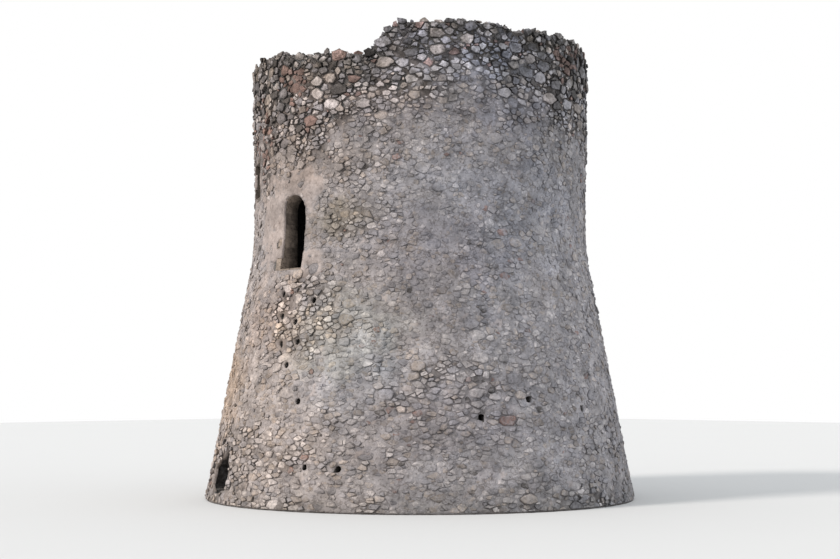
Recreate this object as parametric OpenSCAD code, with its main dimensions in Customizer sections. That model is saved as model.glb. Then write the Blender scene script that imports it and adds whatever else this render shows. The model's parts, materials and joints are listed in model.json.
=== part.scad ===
// A ruined round coast watchtower of rubble masonry: a battered solid base, an upright drum
// with a domed chamber and a high arched doorway, and a terrace behind a broken parapet.
// Sizes are in millimetres. The origin is the centre of the foot, the doorway faces -Y,
// and angles are measured round the tower from +X towards +Y.

/* [Base] */
// Radius of the wall at the foot
foot_r = 3990; // [3800:10:4200]
// Height of the battered base, up to the bed of the drum
base_h = 4000; // [3700:10:4150]
// Thickness of the base's wall at the foot, round its fill
base_wall_t = 1400; // [1000:10:1700]
// Angle at which the first lengths of the base's wall and of the parapet start
base_start = 13.5; // [0:0.5:44.5]

/* [Drum] */
// How much the wall draws in from the foot to the waist
draw_in = 865; // [750:5:950]
// Height of the waist above the bed of the drum, where the batter would meet the upright wall
waist_rise = 625; // [550:5:800]
// Length over which the wall bends, on each side of the waist
bend_len = 450; // [250:10:520]
// How much wider the wall is at the wall head than at the waist
swell = 16; // [0:1:100]
// Height of the drum from its bed to the wall head, where the parapet starts
drum_h = 3100; // [3080:10:3250]
// Thickness of the drum's wall at the waist
drum_wall_t = 1225; // [1100:5:1350]

/* [Chamber] */
// Thickness of the floor's paving
floor_t = 80; // [50:5:120]
// Rise of the vault from its springing to its crown
vault_rise = 1050; // [900:10:1070]
// Thickness of the vault
vault_t = 300; // [220:10:310]
// Thickness of the fill over the vault's crown
crown_cover = 50; // [10:5:100]

/* [Terrace] */
// Thickness of the terrace's paving
paving_t = 100; // [60:5:140]
// Width of the hatch through the vault, square
hatch_w = 650; // [550:10:750]
// Width of the kerb stones round the hatch
kerb_w = 150; // [100:5:200]
// Height of the kerb stones above the paving
kerb_rise = 120; // [60:5:180]
// Thickness of the parapet
parapet_t = 600; // [450:10:700]
// Unevenness of the broken crown
ruin_rough = 80; // [0:5:100]
// Seed of the broken crown's unevenness
ruin_seed = 4; // [1:1:40]

/* [Doorway] */
// Width of the doorway between its jambs
door_w = 610; // [550:10:700]
// Height of the door sill above the bed of the drum
door_sill_rise = 150; // [130:5:200]
// Height of the doorway from its sill to the springing of its arch
door_spring_h = 1010; // [950:5:1100]
// Width of the dressed jamb stones on the face
jamb_w = 150; // [130:5:170]
// How far the long jamb stones reach past the short ones
jamb_bond = 80; // [40:5:100]
// Depth of the dressed stones from the face of the wall
dressed_d = 310; // [250:10:450]
// Thickness of the arch's voussoirs
arch_t = 170; // [140:5:200]
// Number of voussoirs
voussoirs = 7; // [5:2:11]
// Height of one course of jamb stones
jamb_course = 202; // [180:1:260]
// Width of the passage behind the dressed stones
passage_w = 750; // [700:10:800]

/* [Window] */
// Angle of the window's middle
window_a = 239; // [237:1:240]
// Width of the window between its jambs
window_w = 600; // [480:10:620]
// Height of the window from its sill to its lintel
window_h = 640; // [500:10:680]
// Height of the window sill's top above the bed of the drum
window_sill_rise = 1570; // [1520:10:1620]
// Width of the window's jamb stones
window_jamb_w = 140; // [110:5:150]
// Height of the window's sill stone
window_sill_t = 120; // [80:5:150]
// Height of the window's lintel stone
window_lintel_t = 160; // [120:5:200]

/* [Damage] */
// Angle of the breach at the foot
breach_a = 249.5; // [248:0.5:255]
// Depth of the breach behind the face
breach_d = 850; // [500:10:1000]
// Width of an empty scaffold hole
putlog_w = 120; // [80:5:150]
// Depth of an empty scaffold hole
putlog_d = 320; // [200:10:400]
// Depth of a joint groove between dressed stones
groove_d = 12; // [6:1:20]
// Width of a joint groove between dressed stones
groove_w = 14; // [8:1:20]

/* [Hidden] */
$fn = 200;
// Angle of the front, which the doorway's middle is on
front = 270;
// How far a cut runs past the face that it opens
over = 10;
// Span of what is set in the wall in front of an opening, wide enough for all its stones
opening_span = 60;
// How many lengths the round walls are built in, and parts the vault
base_lengths = 8;
parapet_lengths = 8;
vault_quarters = 4;
BASE_NAMES = [for (i = [1:base_lengths]) str("base_wall_", i)];
// Lengths of plain drum wall, as start and end angles; the first starts and the last ends at an opening
DRUM_SPANS = [
    [front, 315], [315, 360], [0, 45], [45, 90], [90, 135], [135, 180], [180, window_a]
];
DRUM_NAMES = [for (i = [1:len(DRUM_SPANS)]) str("drum_wall_", i)];
VAULT_NAMES = [for (i = [1:vault_quarters]) str("vault_", i)];
PARAPET_NAMES = [for (i = [1:parapet_lengths]) str("parapet_", i)];

// Colours of the masonry
warm_rubble = [0.66, 0.58, 0.50];
cool_rubble = [0.58, 0.56, 0.55];
crown_rubble = [0.55, 0.49, 0.45];
dressed_stone = [0.70, 0.64, 0.55];
lime_plaster = [0.68, 0.63, 0.57];
paving_stone = [0.60, 0.55, 0.49];

// Radii of the waist and of the chamber, and the heights that stand on the bed of the drum
waist_r = foot_r - draw_in;
chamber_r = waist_r - drum_wall_t;
waist_z = base_h + waist_rise;
wall_head_z = base_h + drum_h;
spring_z = wall_head_z - crown_cover - vault_t - vault_rise;
door_sill_z = base_h + door_sill_rise;
window_sill_z = base_h + window_sill_rise;

// Angles from the upright of the two straight stretches of the outer face, inwards below the waist
// and outwards above it
batter_a = atan(draw_in / waist_z);
flare_a = atan(swell / (wall_head_z - waist_z));
// The arc that joins them: where it starts and ends, its radius and its centre
bend_lo = [waist_r + bend_len * sin(batter_a), waist_z - bend_len * cos(batter_a)];
bend_hi = [waist_r + bend_len * sin(flare_a), waist_z + bend_len * cos(flare_a)];
bend_r = bend_len / tan((batter_a + flare_a) / 2);
bend_mid = bend_lo + bend_r * [cos(batter_a), sin(batter_a)];
bend_steps = 6;

// Outer radius of the tower's wall at height z
function outer_r(z) =
    z <= bend_lo[1] ? foot_r - z * tan(batter_a) :
    z >= bend_hi[1] ? waist_r + (z - waist_z) * tan(flare_a) :
    bend_mid[0] - sqrt(bend_r * bend_r - pow(z - bend_mid[1], 2));

// Points of the outer face from height lo up to height hi
function face_points(lo, hi) = [
    [outer_r(lo), lo],
    for (i = [0:bend_steps])
        let (z = bend_lo[1] + (bend_hi[1] - bend_lo[1]) * i / bend_steps)
        if (z > lo + over && z < hi - over) [outer_r(z), z],
    [outer_r(hi), hi]
];

// The vault is a cap of two concentric spheres
vault_in_r = (chamber_r * chamber_r + vault_rise * vault_rise) / (2 * vault_rise);
vault_out_r = vault_in_r + vault_t;
vault_mid_z = spring_z + vault_rise - vault_in_r;
// Radius at which the vault's back meets its bed
seat_r = sqrt(vault_out_r * vault_out_r - pow(spring_z - vault_mid_z, 2));
// Nothing of the vault reaches inside this radius, because the hatch takes its middle
hatch_clear_r = hatch_w / 2 - 2 * over;
vault_steps = 8;

// Points of a cap of radius r, from the hatch out to radius end_r
function cap_points(r, end_r) =
    let (a0 = asin(hatch_clear_r / r), a1 = asin(end_r / r))
    [for (i = [0:vault_steps])
        let (a = a0 + (a1 - a0) * i / vault_steps)
        [r * sin(a), vault_mid_z + r * cos(a)]];
function backwards(list) = [for (i = [len(list) - 1:-1:0]) list[i]];

terrace_r = outer_r(wall_head_z) - parapet_t;

door_spring_z = door_sill_z + door_spring_h;
door_block_w = door_w + 2 * jamb_w;
door_head_z = door_spring_z + door_w / 2 + arch_t;
window_head_z = window_sill_z + window_h;
window_block_w = window_w + 2 * window_jamb_w;
window_block_lo = window_sill_z - window_sill_t;
window_block_hi = window_head_z + window_lintel_t;

// Empty scaffold holes and lost stones on the base, as angle and share of the base's height
PUTLOGS = [
    [345, 0.465], [5, 0.423], [331, 0.393], [268.5, 0.922], [269.5, 0.825], [275.5, 0.8],
    [271, 0.705], [277.5, 0.712], [274.5, 0.612], [280.5, 0.457], [281.7, 0.89], [285, 0.185],
    [294.5, 0.18]
];
// The breach's ragged outline on the face, as width to the right of its middle and height
BREACH = [
    [-440, 340], [-370, 250], [-240, 230], [-180, 160], [60, 150], [140, 220], [310, 230],
    [420, 370], [360, 480], [400, 660], [300, 760], [310, 900], [230, 1060], [130, 990],
    [110, 860], [-40, 780], [-150, 820], [-240, 690], [-390, 640], [-360, 500]
];
// The smaller heart of the breach
BREACH_HEART = [[-290, 380], [-150, 260], [170, 270], [300, 420], [240, 820], [60, 690], [-230, 600]];
breach_face_share = 0.55;
// Half the widest angle that the breach and a scaffold hole take up, seen from the axis
breach_reach = 7;
putlog_reach = asin(putlog_w / 2 / waist_r);

// The broken crown, as angle round the tower and height of the masonry above the wall head
CROWN = [
    [0, 1220], [9, 1250], [28, 1220], [60, 1160], [95, 990], [130, 1050], [165, 1140], [200, 1020],
    [235, 930], [255, 950], [265, 890], [275, 790], [290, 750], [299, 690], [303, 1010],
    [307, 1200], [326, 1260], [341, 1260], [348, 1100], [353, 1210], [360, 1220]
];
// Stations along each length of parapet and lines across its top, which break its edges
parapet_steps = 15;
parapet_lines = 3;
stations = parapet_lengths * parapet_steps;
UNEVEN = rands(-ruin_rough / 2, ruin_rough / 2, stations * (parapet_lines + 1), ruin_seed);
// Height of the crown at station k, line j
function crown_at(k, j) = wall_head_z + lookup((base_start + 360 / stations * k) % 360, CROWN)
    + UNEVEN[k % stations * (parapet_lines + 1) + j];

// Turns its children so that what points along -Y points out of the wall at angle a
module facing(a) {
    rotate([0, 0, a - front]) children();
}

// A block in front of the axis: width w, from radius r0 out to r1, from height z0 to z1
module block(w, r0, r1, z0, z1) {
    translate([-w / 2, -r1, z0]) cube([w, r1 - r0, z1 - z0]);
}

// The drum's wall between angles a0 and a1, with the bed of the vault cut in its inner face
module drum_band(a0, a1, lo = base_h, hi = wall_head_z) {
    inner = hi <= spring_z ? [[chamber_r, hi], [chamber_r, lo]] :
        lo >= spring_z ? [[seat_r, hi], [seat_r, lo]] :
        [[seat_r, hi], [seat_r, spring_z], [chamber_r, spring_z], [chamber_r, lo]];
    rotate_extrude(angle = a1 - a0, start = a0) polygon(concat(face_points(lo, hi), inner));
}

// Radii that lie clear inside and clear outside the drum's wall
reach_in = chamber_r / 2;
reach_out = foot_r;
// Radius of the back of the dressed stones
dressed_back_r = waist_r - dressed_d;

// Everything that lies deeper than depth behind the drum's face, near the angle a
module behind_face(depth, a) {
    rotate_extrude(angle = opening_span, start = a - opening_span / 2)
        polygon(concat(
            [for (p = face_points(base_h, wall_head_z)) p - [depth, 0]],
            [[reach_in, wall_head_z], [reach_in, base_h]]));
}

// All that is cut from the plain wall for the doorway: its passage, dressed stones and the wall over it
module door_space() {
    facing(front) {
        block(passage_w, reach_in, reach_out, base_h - over, door_head_z);
        difference() {
            block(door_block_w, reach_in, reach_out, base_h - over, door_head_z);
            cylinder(r = dressed_back_r, h = door_head_z);
        }
        block(door_block_w, reach_in, reach_out, door_head_z, wall_head_z + over);
        long_jamb_stones(1);
        long_jamb_stones(-1);
    }
}

// Every other jamb stone is a long one, bonded into the wall on side s
module long_jamb_stones(s) {
    for (z = [door_sill_z + jamb_course : 2 * jamb_course : door_spring_z - jamb_course])
        difference() {
            translate([s > 0 ? door_w / 2 : -door_w / 2 - jamb_w - jamb_bond, -reach_out, z])
                cube([jamb_w + jamb_bond, reach_out, jamb_course]);
            cylinder(r = dressed_back_r, h = door_head_z);
        }
}

module window_space() {
    facing(window_a) {
        block(window_block_w, reach_in, reach_out, base_h - over, wall_head_z + over);
    }
}

module window_passage() {
    facing(window_a) block(window_w, reach_in, reach_out, window_sill_z, window_head_z);
}

// Lengths of the battered base, cut by the breach and the scaffold holes
module base_wall(i) {
    a0 = base_start + 360 / base_lengths * i;
    a1 = a0 + 360 / base_lengths;
    color(nears(breach_a, a0, a1, 0) ? warm_rubble : cool_rubble) difference() {
        rotate_extrude(angle = a1 - a0, start = a0)
            polygon([[foot_r - base_wall_t, 0], [foot_r, 0], [outer_r(base_h), base_h],
                [foot_r - base_wall_t, base_h]]);
        if (nears(breach_a, a0, a1, breach_reach)) breach();
        for (p = PUTLOGS)
            if (nears(p[0], a0, a1, putlog_reach)) {
                z = p[1] * base_h;
                facing(p[0]) block(putlog_w, outer_r(z) - putlog_d, foot_r, z - putlog_w / 2, z + putlog_w / 2);
            }
    }
}
// Whether what reaches so far each side of angle a gets in between angles a0 and a1
function nears(a, a0, a1, reach) =
    let (off = abs(a - (a0 + a1) / 2) % 360) min(off, 360 - off) < (a1 - a0) / 2 + reach;

// The ragged hole at the foot: a wide mouth through the facing stones and a smaller heart behind it
module breach() {
    face = outer_r(BREACH[0][1]) * [cos(breach_a), sin(breach_a), 0];
    for (cut = [[BREACH, breach_d * breach_face_share], [BREACH_HEART, breach_d]])
        translate(face + [0, cut[1], 0]) rotate([90, 0, 0])
            linear_extrude(cut[1] + base_wall_t) polygon(cut[0]);
}

module base_fill() {
    color(cool_rubble) cylinder(r = foot_r - base_wall_t, h = base_h);
}

module chamber_floor() {
    color(paving_stone) translate([0, 0, base_h]) cylinder(r = chamber_r, h = floor_t);
}

module drum_wall(i) {
    span = DRUM_SPANS[i];
    color(span[1] == window_a ? warm_rubble : cool_rubble) difference() {
        drum_band(span[0], span[1]);
        if (span[0] == front) door_space();
        if (span[1] == window_a) window_space();
    }
}

module door_window_pier() {
    color(warm_rubble) difference() {
        drum_band(window_a, front);
        door_space();
        window_space();
    }
}

// The part of the drum near the angle a that lies inside its children
module drum_piece(a, lo, hi) {
    intersection() {
        drum_band(a - opening_span / 2, a + opening_span / 2, lo, hi);
        facing(a) children();
    }
}

module wall_over_door() {
    color(warm_rubble) drum_piece(front, door_head_z, wall_head_z)
        block(door_block_w, reach_in, reach_out, door_head_z, wall_head_z);
}

module wall_under_window() {
    color(warm_rubble) drum_piece(window_a, base_h, window_sill_z)
        difference() {
            block(window_block_w, reach_in, reach_out, base_h, window_sill_z);
            difference() {
                block(window_block_w + over, reach_in, reach_out + over, window_block_lo, wall_head_z);
                cylinder(r = dressed_back_r, h = wall_head_z);
            }
        }
}

// The wall over the window, with the window's reveals behind the dressed stones
module wall_over_window() {
    color(warm_rubble) drum_piece(window_a, window_sill_z, wall_head_z)
        difference() {
            block(window_block_w, reach_in, reach_out, window_sill_z, wall_head_z);
            block(window_w, reach_in - over, reach_out + over, window_sill_z - over, window_head_z);
            difference() {
                block(window_block_w + over, reach_in, reach_out + over, base_h, window_block_hi);
                cylinder(r = dressed_back_r, h = wall_head_z);
            }
        }
}

// The threshold, a step higher under the arch than in the passage
module door_sill() {
    color(dressed_stone) drum_piece(front, base_h, door_sill_z)
        union() {
            block(passage_w, reach_in, reach_out, base_h, base_h + floor_t);
            difference() {
                block(door_block_w, reach_in, reach_out, base_h, door_sill_z);
                cylinder(r = dressed_back_r, h = wall_head_z);
            }
        }
}

// A column of jamb stones on side s, long and short by turns, with grooved joints
module door_jamb(s) {
    color(s < 0 ? dressed_stone : warm_rubble) drum_piece(front, door_sill_z, door_head_z)
        difference() {
            union() {
                translate([s > 0 ? door_w / 2 : -door_block_w / 2, -reach_out, door_sill_z])
                    cube([jamb_w, reach_out, door_spring_h]);
                long_jamb_stones(s);
            }
            cylinder(r = dressed_back_r, h = door_head_z);
            for (z = [door_sill_z + jamb_course : jamb_course : door_spring_z - jamb_course / 2])
                difference() {
                    translate([s > 0 ? 0 : -door_block_w, -reach_out, z - groove_w / 2])
                        cube([door_block_w, reach_out, groove_w]);
                    behind_face(groove_d, front);
                }
        }
}

// The round arch of voussoirs and the shoulders that square it to the jambs
module door_arch() {
    color(dressed_stone) drum_piece(front, door_spring_z, door_head_z)
        difference() {
            block(door_block_w, reach_in, reach_out, door_spring_z, door_head_z);
            cylinder(r = dressed_back_r, h = wall_head_z);
            translate([0, 0, door_spring_z]) rotate([90, 0, 0]) cylinder(d = door_w, h = reach_out + over);
            for (k = [1:voussoirs - 1])
                difference() {
                    translate([0, 0, door_spring_z]) rotate([0, -180 / voussoirs * k, 0])
                        translate([0, -reach_out, -groove_w / 2])
                        cube([door_w / 2 + arch_t, reach_out, groove_w]);
                    behind_face(groove_d, front);
                }
        }
}

module window_sill() {
    color(dressed_stone) drum_piece(window_a, window_block_lo, window_sill_z)
        difference() {
            block(window_block_w, reach_in, reach_out, window_block_lo, window_sill_z);
            cylinder(r = dressed_back_r, h = wall_head_z);
        }
}

module window_jambs() {
    color(dressed_stone) drum_piece(window_a, window_sill_z, window_head_z)
        difference() {
            block(window_block_w, reach_in, reach_out, window_sill_z, window_head_z);
            block(window_w, reach_in - over, reach_out + over, window_sill_z - over, window_head_z + over);
            cylinder(r = dressed_back_r, h = wall_head_z);
        }
}

module window_lintel() {
    color(dressed_stone) drum_piece(window_a, window_head_z, window_block_hi)
        difference() {
            block(window_block_w, reach_in, reach_out, window_head_z, window_block_hi);
            cylinder(r = dressed_back_r, h = wall_head_z);
        }
}

module hatch_space() {
    translate([-hatch_w / 2, -hatch_w / 2, spring_z]) cube([hatch_w, hatch_w, wall_head_z]);
}

// A quarter of the vault, with the window's embrasure cut through its haunch
module vault(i) {
    quarter = 360 / vault_quarters;
    a0 = window_a - quarter / 2 + quarter * i;
    color(lime_plaster) difference() {
        rotate_extrude(angle = quarter, start = a0)
            polygon(concat(cap_points(vault_in_r, chamber_r), backwards(cap_points(vault_out_r, seat_r))));
        hatch_space();
        if (i == 0) window_passage();
    }
}

// Rubble fill that levels the vault's back up to the wall head
module vault_fill() {
    color(cool_rubble) difference() {
        rotate_extrude()
            polygon(concat([[hatch_clear_r, wall_head_z]], cap_points(vault_out_r, seat_r),
                [[seat_r, wall_head_z]]));
        hatch_space();
        window_passage();
    }
}

module terrace_paving() {
    kerb_out = hatch_w + 2 * kerb_w;
    color(paving_stone) translate([0, 0, wall_head_z]) difference() {
        cylinder(r = terrace_r, h = paving_t);
        translate([-kerb_out / 2, -kerb_out / 2, -over]) cube([kerb_out, kerb_out, paving_t + 2 * over]);
    }
}

module hatch_kerb() {
    kerb_out = hatch_w + 2 * kerb_w;
    kerb_h = paving_t + kerb_rise;
    color(dressed_stone) translate([0, 0, wall_head_z]) difference() {
        translate([-kerb_out / 2, -kerb_out / 2, 0]) cube([kerb_out, kerb_out, kerb_h]);
        translate([-hatch_w / 2, -hatch_w / 2, -over]) cube([hatch_w, hatch_w, kerb_h + 2 * over]);
    }
}

// A length of parapet, whose top follows the broken crown
module parapet(i) {
    foot_out = outer_r(wall_head_z);
    // At each station: the two foot points, then the top points from the outer face inwards
    points = [for (k = [i * parapet_steps:(i + 1) * parapet_steps])
        let (a = base_start + 360 / stations * k, dir = [cos(a), sin(a), 0])
        each concat(
            [dir * terrace_r + [0, 0, wall_head_z], dir * foot_out + [0, 0, wall_head_z]],
            [for (j = [0:parapet_lines])
                let (z = crown_at(k, j), r = outer_r(z) - (outer_r(z) - terrace_r) * j / parapet_lines)
                dir * r + [0, 0, z]])];
    ring = parapet_lines + 3;
    loop = [0, 1, for (j = [0:parapet_lines]) 2 + j];
    color(crown_rubble) polyhedron(points, concat(
        [[for (k = [0:ring - 1]) loop[k]]],
        [[for (k = [ring - 1:-1:0]) parapet_steps * ring + loop[k]]],
        [for (s = [0:parapet_steps - 1], k = [0:ring - 1])
            let (p = s * ring + loop[k], q = s * ring + loop[(k + 1) % ring])
            each [[p, p + ring, q], [q, p + ring, q + ring]]]
    ));
}

for (i = [0:base_lengths - 1]) base_wall(i);
base_fill();
chamber_floor();
for (i = [0:len(DRUM_SPANS) - 1]) drum_wall(i);
door_window_pier();
wall_over_door();
wall_under_window();
wall_over_window();
door_sill();
door_jamb(-1);  // door_jamb_left
door_jamb(1);  // door_jamb_right
door_arch();
window_sill();
window_jambs();
window_lintel();
for (i = [0:vault_quarters - 1]) vault(i);
vault_fill();
terrace_paving();
hatch_kerb();
for (i = [0:parapet_lengths - 1]) parapet(i);
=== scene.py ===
"""Finish of a ruined round coast watchtower: rubble facing stones bedded in worn lime render,
a broken crown of loose stones, dressed stones at the openings, and the stage that shows it."""
import json
import math
import bpy
import bmesh
import numpy as np
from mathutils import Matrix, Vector, noise


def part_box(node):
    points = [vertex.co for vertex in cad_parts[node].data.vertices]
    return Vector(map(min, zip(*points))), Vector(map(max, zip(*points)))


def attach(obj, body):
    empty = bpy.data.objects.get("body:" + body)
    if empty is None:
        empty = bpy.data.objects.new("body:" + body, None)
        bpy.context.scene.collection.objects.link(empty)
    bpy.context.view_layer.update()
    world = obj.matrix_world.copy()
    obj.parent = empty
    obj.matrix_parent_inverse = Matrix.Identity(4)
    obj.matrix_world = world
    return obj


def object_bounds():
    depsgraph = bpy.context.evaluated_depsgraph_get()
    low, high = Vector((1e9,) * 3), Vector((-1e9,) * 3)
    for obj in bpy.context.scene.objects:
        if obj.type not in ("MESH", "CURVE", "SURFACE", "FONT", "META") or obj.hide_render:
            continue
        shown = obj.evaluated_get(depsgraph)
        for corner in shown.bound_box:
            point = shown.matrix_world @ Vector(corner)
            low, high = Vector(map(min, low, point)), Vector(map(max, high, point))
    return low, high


bl_info = {
    "name": "Rubble Watchtower",
    "version": (1, 0, 0),
    "blender": (4, 5, 0),
    "location": "3D View > Sidebar > Watchtower",
    "description": "Lays rubble masonry, render and loose stones over a round coast watchtower",
    "category": "Add Mesh",
}

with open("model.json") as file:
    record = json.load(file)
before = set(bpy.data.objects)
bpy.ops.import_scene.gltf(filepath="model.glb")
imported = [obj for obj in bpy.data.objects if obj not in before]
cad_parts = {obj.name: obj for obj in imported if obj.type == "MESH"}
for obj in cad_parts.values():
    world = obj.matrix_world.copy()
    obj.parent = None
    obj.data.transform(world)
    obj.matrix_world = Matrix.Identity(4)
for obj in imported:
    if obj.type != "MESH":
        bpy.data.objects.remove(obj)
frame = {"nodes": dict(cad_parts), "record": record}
CAD_LOW, CAD_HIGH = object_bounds()

# Heights and radii that the frame gives
FOOT_R = CAD_HIGH.x
WALL_HEAD_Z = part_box("drum_wall_2")[1].z
TERRACE_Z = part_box("terrace_paving")[1].z
TERRACE_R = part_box("terrace_paving")[1].x
DOOR_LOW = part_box("door_sill")[1].z
DOOR_SPRING_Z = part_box("door_arch")[0].z

# Angles round the tower, from +X towards +Y
FRONT = math.radians(-90)
VIEW_ANGLE = math.radians(-45)
WINDOW_ANGLE = math.radians(-121)
BREACH_ANGLE = math.radians(-110.5)
TURN = 2 * math.pi
# The wall is laid out flat at this radius, angle times radius along and height up
FLAT_R = 3.5
# How far the lowest stones and the render's lowest edge stay above the ground
FOOT_GAP, RENDER_FOOT = 0.02, 0.016
# How deep the stones are bedded in the core, and how far they keep from an opening's edge
BED_DEPTH, EDGE_GAP = 0.008, 0.008
# Least distance between the corners of a stone's outline, and its least area
LEAST_SIDE, LEAST_AREA = 0.015, 0.0006
# The parapet's broken top is everywhere higher than this over the wall head, and its outer corners
# lie further out than this from the terrace
CROWN_LEAST, CROWN_OUTER = 0.3, 0.5
# How far under the crown's edge its growth of lichen starts, and where it is full
GROWTH_FROM, GROWTH_FULL = 0.75, 0.1
# How much smaller or larger than its class a stone is, and how far its corners lie for its radius
SIZE_RANGE, CORNER_RANGE = (0.80, 1.20), (1.45, 2.30)
# Stones larger than this have seven corners, the others six
SEVEN_CORNERS_R = 0.045
# The most that an edge between two stones is turned, in radians
EDGE_TURN = 0.55
# How much of an edge goes with a broken corner, and how long an edge has to be to break at its middle
CORNER_CUT, LONG_EDGE = (0.06, 0.24), 0.035
# How far the layout of stones runs on over the crown, and how near to the ground stones are cut
SPARE_HEIGHT, FOOT_REACH = 0.2, 0.2
# How far under the crown's edge the render and the parapet's lining end
RENDER_UNDER, LINING_UNDER = 0.10, 0.06
# Share of the rough rubble whose stones have lost their outer part, and how much relief they keep
FALLEN_SHARE, FALLEN_RELIEF = 0.10, 0.35
# Share of red stones in a red patch, and the tones that every mix of stones gives to red and dark
RED_SHARE, RED_TONE, DARK_TONE = 0.60, 0.01, 0.99
# Plaster that hides the stones under it, and plaster that runs on over dressed stones
HIDING_PLASTER, OVER_DRESSED = 0.85, 0.35
# Stones nearer to an opening than the first are left out, and up to the second are cut to its edge
OPENING_GAP, STONE_REACH = 0.02, 0.3
# Half heights from which stones have worn corners or jagged edges, and how rough a wall has these
WORN_R, JAGGED_R, JAGGED_FROM = 0.040, 0.024, 0.7
# Thickness of smooth plaster, the least of the render's, and how rough a wall has no render
PLASTER_OUT, RENDER_LEAST, BARE_FROM = 0.018, 0.003, 0.93
# Where the facing's pieces part: the height of the drum's foot, and the crown's over the rough line
DRUM_Z, CROWN_OVER = 4.0, 0.45
# The facing's pieces, from the foot up: name, material and slot
ZONES = (
    ("base", "wall_stone", "rubble_wall"),
    ("drum", "wall_stone", "rubble_wall"),
    ("crown", "crown_stone", "crown_rubble"),
)
# Faces of the parapet that look up at least this much carry loose stones, this far from its edges
LEVEL_ENOUGH, LOOSE_EDGE = 0.3, 0.05
# How many shapes the loose stones have, from how many points each, and how high they are scattered
ROCKS, ROCK_POINTS, LOOSE_LIFT = 9, 12, 0.01
# Height of a course of dressed stones
DRESSED_COURSE = 0.202
# Makes a second random number of a stone's tone
TONE_SCRAMBLE = 37.7
# Reflection and roughness of every surface
DULL_SPECULAR, DULL_ROUGHNESS = 0.25, 0.92
# How wide the sun looks, its colour, and the sky's
SUN_WIDTH = math.radians(12)
SUN_COLOUR, SKY_COLOUR = (1.0, 0.95, 0.90), (0.92, 0.96, 1.0)


def seen(degrees_left):
    """The angle round the tower of a place so many degrees left of the line to the camera."""
    return VIEW_ANGLE - math.radians(degrees_left)


# Where the open-jointed rubble starts, as degrees left of the camera and height
ROUGH_LINE = (
    (180, 6.9), (140, 7.0), (100, 7.0), (72, 6.2), (55, 6.2), (42, 6.1), (31, 6.3), (22, 6.6),
    (10, 6.9), (-2, 7.1), (-13, 7.15), (-25, 7.1), (-39, 6.9), (-50, 6.7), (-62, 6.4), (-80, 6.5),
    (-110, 6.9), (-150, 7.0), (-180, 6.9),
)
# Where the wall below that line is rough too: angle, height, reach along, reach up and how rough
ROUGH_PATCHES = (
    (seen(40), 3.3, 1.6, 1.3, 0.60),
    (seen(24), 6.1, 1.6, 1.2, 0.46),
    (seen(48), 0.75, 1.9, 1.1, 0.50),
    (BREACH_ANGLE, 0.65, 1.3, 1.1, 0.65),
    (seen(15), 1.2, 2.0, 0.9, 0.40),
    (seen(20), 5.0, 1.3, 0.9, 0.48),
    (seen(-8), 1.9, 2.2, 1.1, 0.45),
    (seen(-58), 0.9, 1.2, 1.2, 0.35),
    (seen(180), 2.6, 1.2, 1.2, 0.5),
    (seen(120), 5.3, 0.9, 0.8, 0.5),
)
# Where smooth plaster still covers the stones: angle, height, reach along and reach up
PLASTERED = (
    (seen(54), 5.0, 1.05, 1.20),
    (seen(40), 5.55, 0.80, 0.50),
    (seen(37), 4.22, 0.40, 0.44),
    (seen(150), 5.6, 1.2, 0.8),
    (WINDOW_ANGLE, 5.9, 0.7, 0.65),
)
# Where brick and red stone show among the rubble: angle, height, reach along and reach up
RED_PATCHES = ((seen(45), 7.45, 0.75, 0.45), (seen(66), 6.5, 0.65, 1.0), (seen(-58), 8.0, 0.7, 0.35))
# Broad patches that tint the wall lighter or darker: angle, height, reach to the side and up, and the tint
BROAD_TINTS = (
    (seen(62), 1.9, 2.4, 2.3, (1.15, 1.12, 1.08)),
    (seen(50), 6.5, 1.6, 1.5, (0.86, 0.83, 0.80)),
    (seen(-50), 2.2, 3.0, 2.6, (1.15, 1.14, 1.14)),
    (seen(-24), 5.1, 1.9, 1.6, (1.03, 1.06, 1.11)),
    (seen(-62), 4.3, 1.2, 2.4, (1.12, 1.12, 1.12)),
    (seen(24), 3.0, 1.5, 0.9, (1.05, 1.10, 1.07)),
    (seen(27), 4.95, 0.7, 0.42, (0.84, 0.80, 0.70)),
    (seen(-2), 4.4, 1.6, 0.9, (0.87, 0.86, 0.87)),
    (seen(-6), 1.5, 1.7, 1.0, (0.84, 0.83, 0.84)),
    (seen(-30), 6.9, 1.4, 0.7, (0.92, 0.93, 0.98)),
    (seen(-12), 7.9, 1.9, 0.6, (1.06, 1.10, 1.20)),
    (seen(30), 7.0, 1.6, 0.7, (1.16, 1.15, 1.16)),
    (seen(74), 2.2, 0.8, 1.1, (1.06, 0.95, 0.82)),
    (seen(9), 6.85, 0.9, 0.5, (0.87, 0.86, 0.86)),
    (seen(47), 3.2, 1.2, 0.9, (1.03, 0.96, 0.91)),
    (seen(-8), 3.5, 0.9, 0.7, (0.85, 0.85, 0.86)),
    (seen(20), 2.2, 1.5, 0.7, (1.04, 1.08, 1.12)),
    (seen(-24), 7.65, 1.0, 0.4, (1.14, 1.17, 1.20)),
    (seen(25), 5.8, 0.9, 0.5, (1.09, 1.08, 1.07)),
    (seen(10), 2.7, 0.8, 0.5, (1.05, 1.06, 1.08)),
)


def number(name, description, default, **more):
    return bpy.props.FloatProperty(name=name, description=description, default=default, **more)


def length(name, description, default):
    return number(name, description, default, unit="LENGTH")


def turning(name, description, degrees):
    return number(name, description, math.radians(degrees), subtype="ANGLE")


def seed(description, default):
    return bpy.props.IntProperty(name="Seed", description=description, default=default)


def colour(name, description, *default):
    return bpy.props.FloatVectorProperty(
        name=name, description=description, subtype="COLOR", size=3, default=default)


class WallShape(bpy.types.PropertyGroup):
    draw_in: length("Draw in", "How much the wall draws in from the foot to the waist", 0.865)
    waist_z: length("Waist height", "Height where the batter meets the upright wall", 4.625)
    bend: length("Bend", "Length of the bend on each side of the waist", 0.45)
    swell: length("Swell", "How much wider the wall is at its head than at the waist", 0.016)


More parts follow.
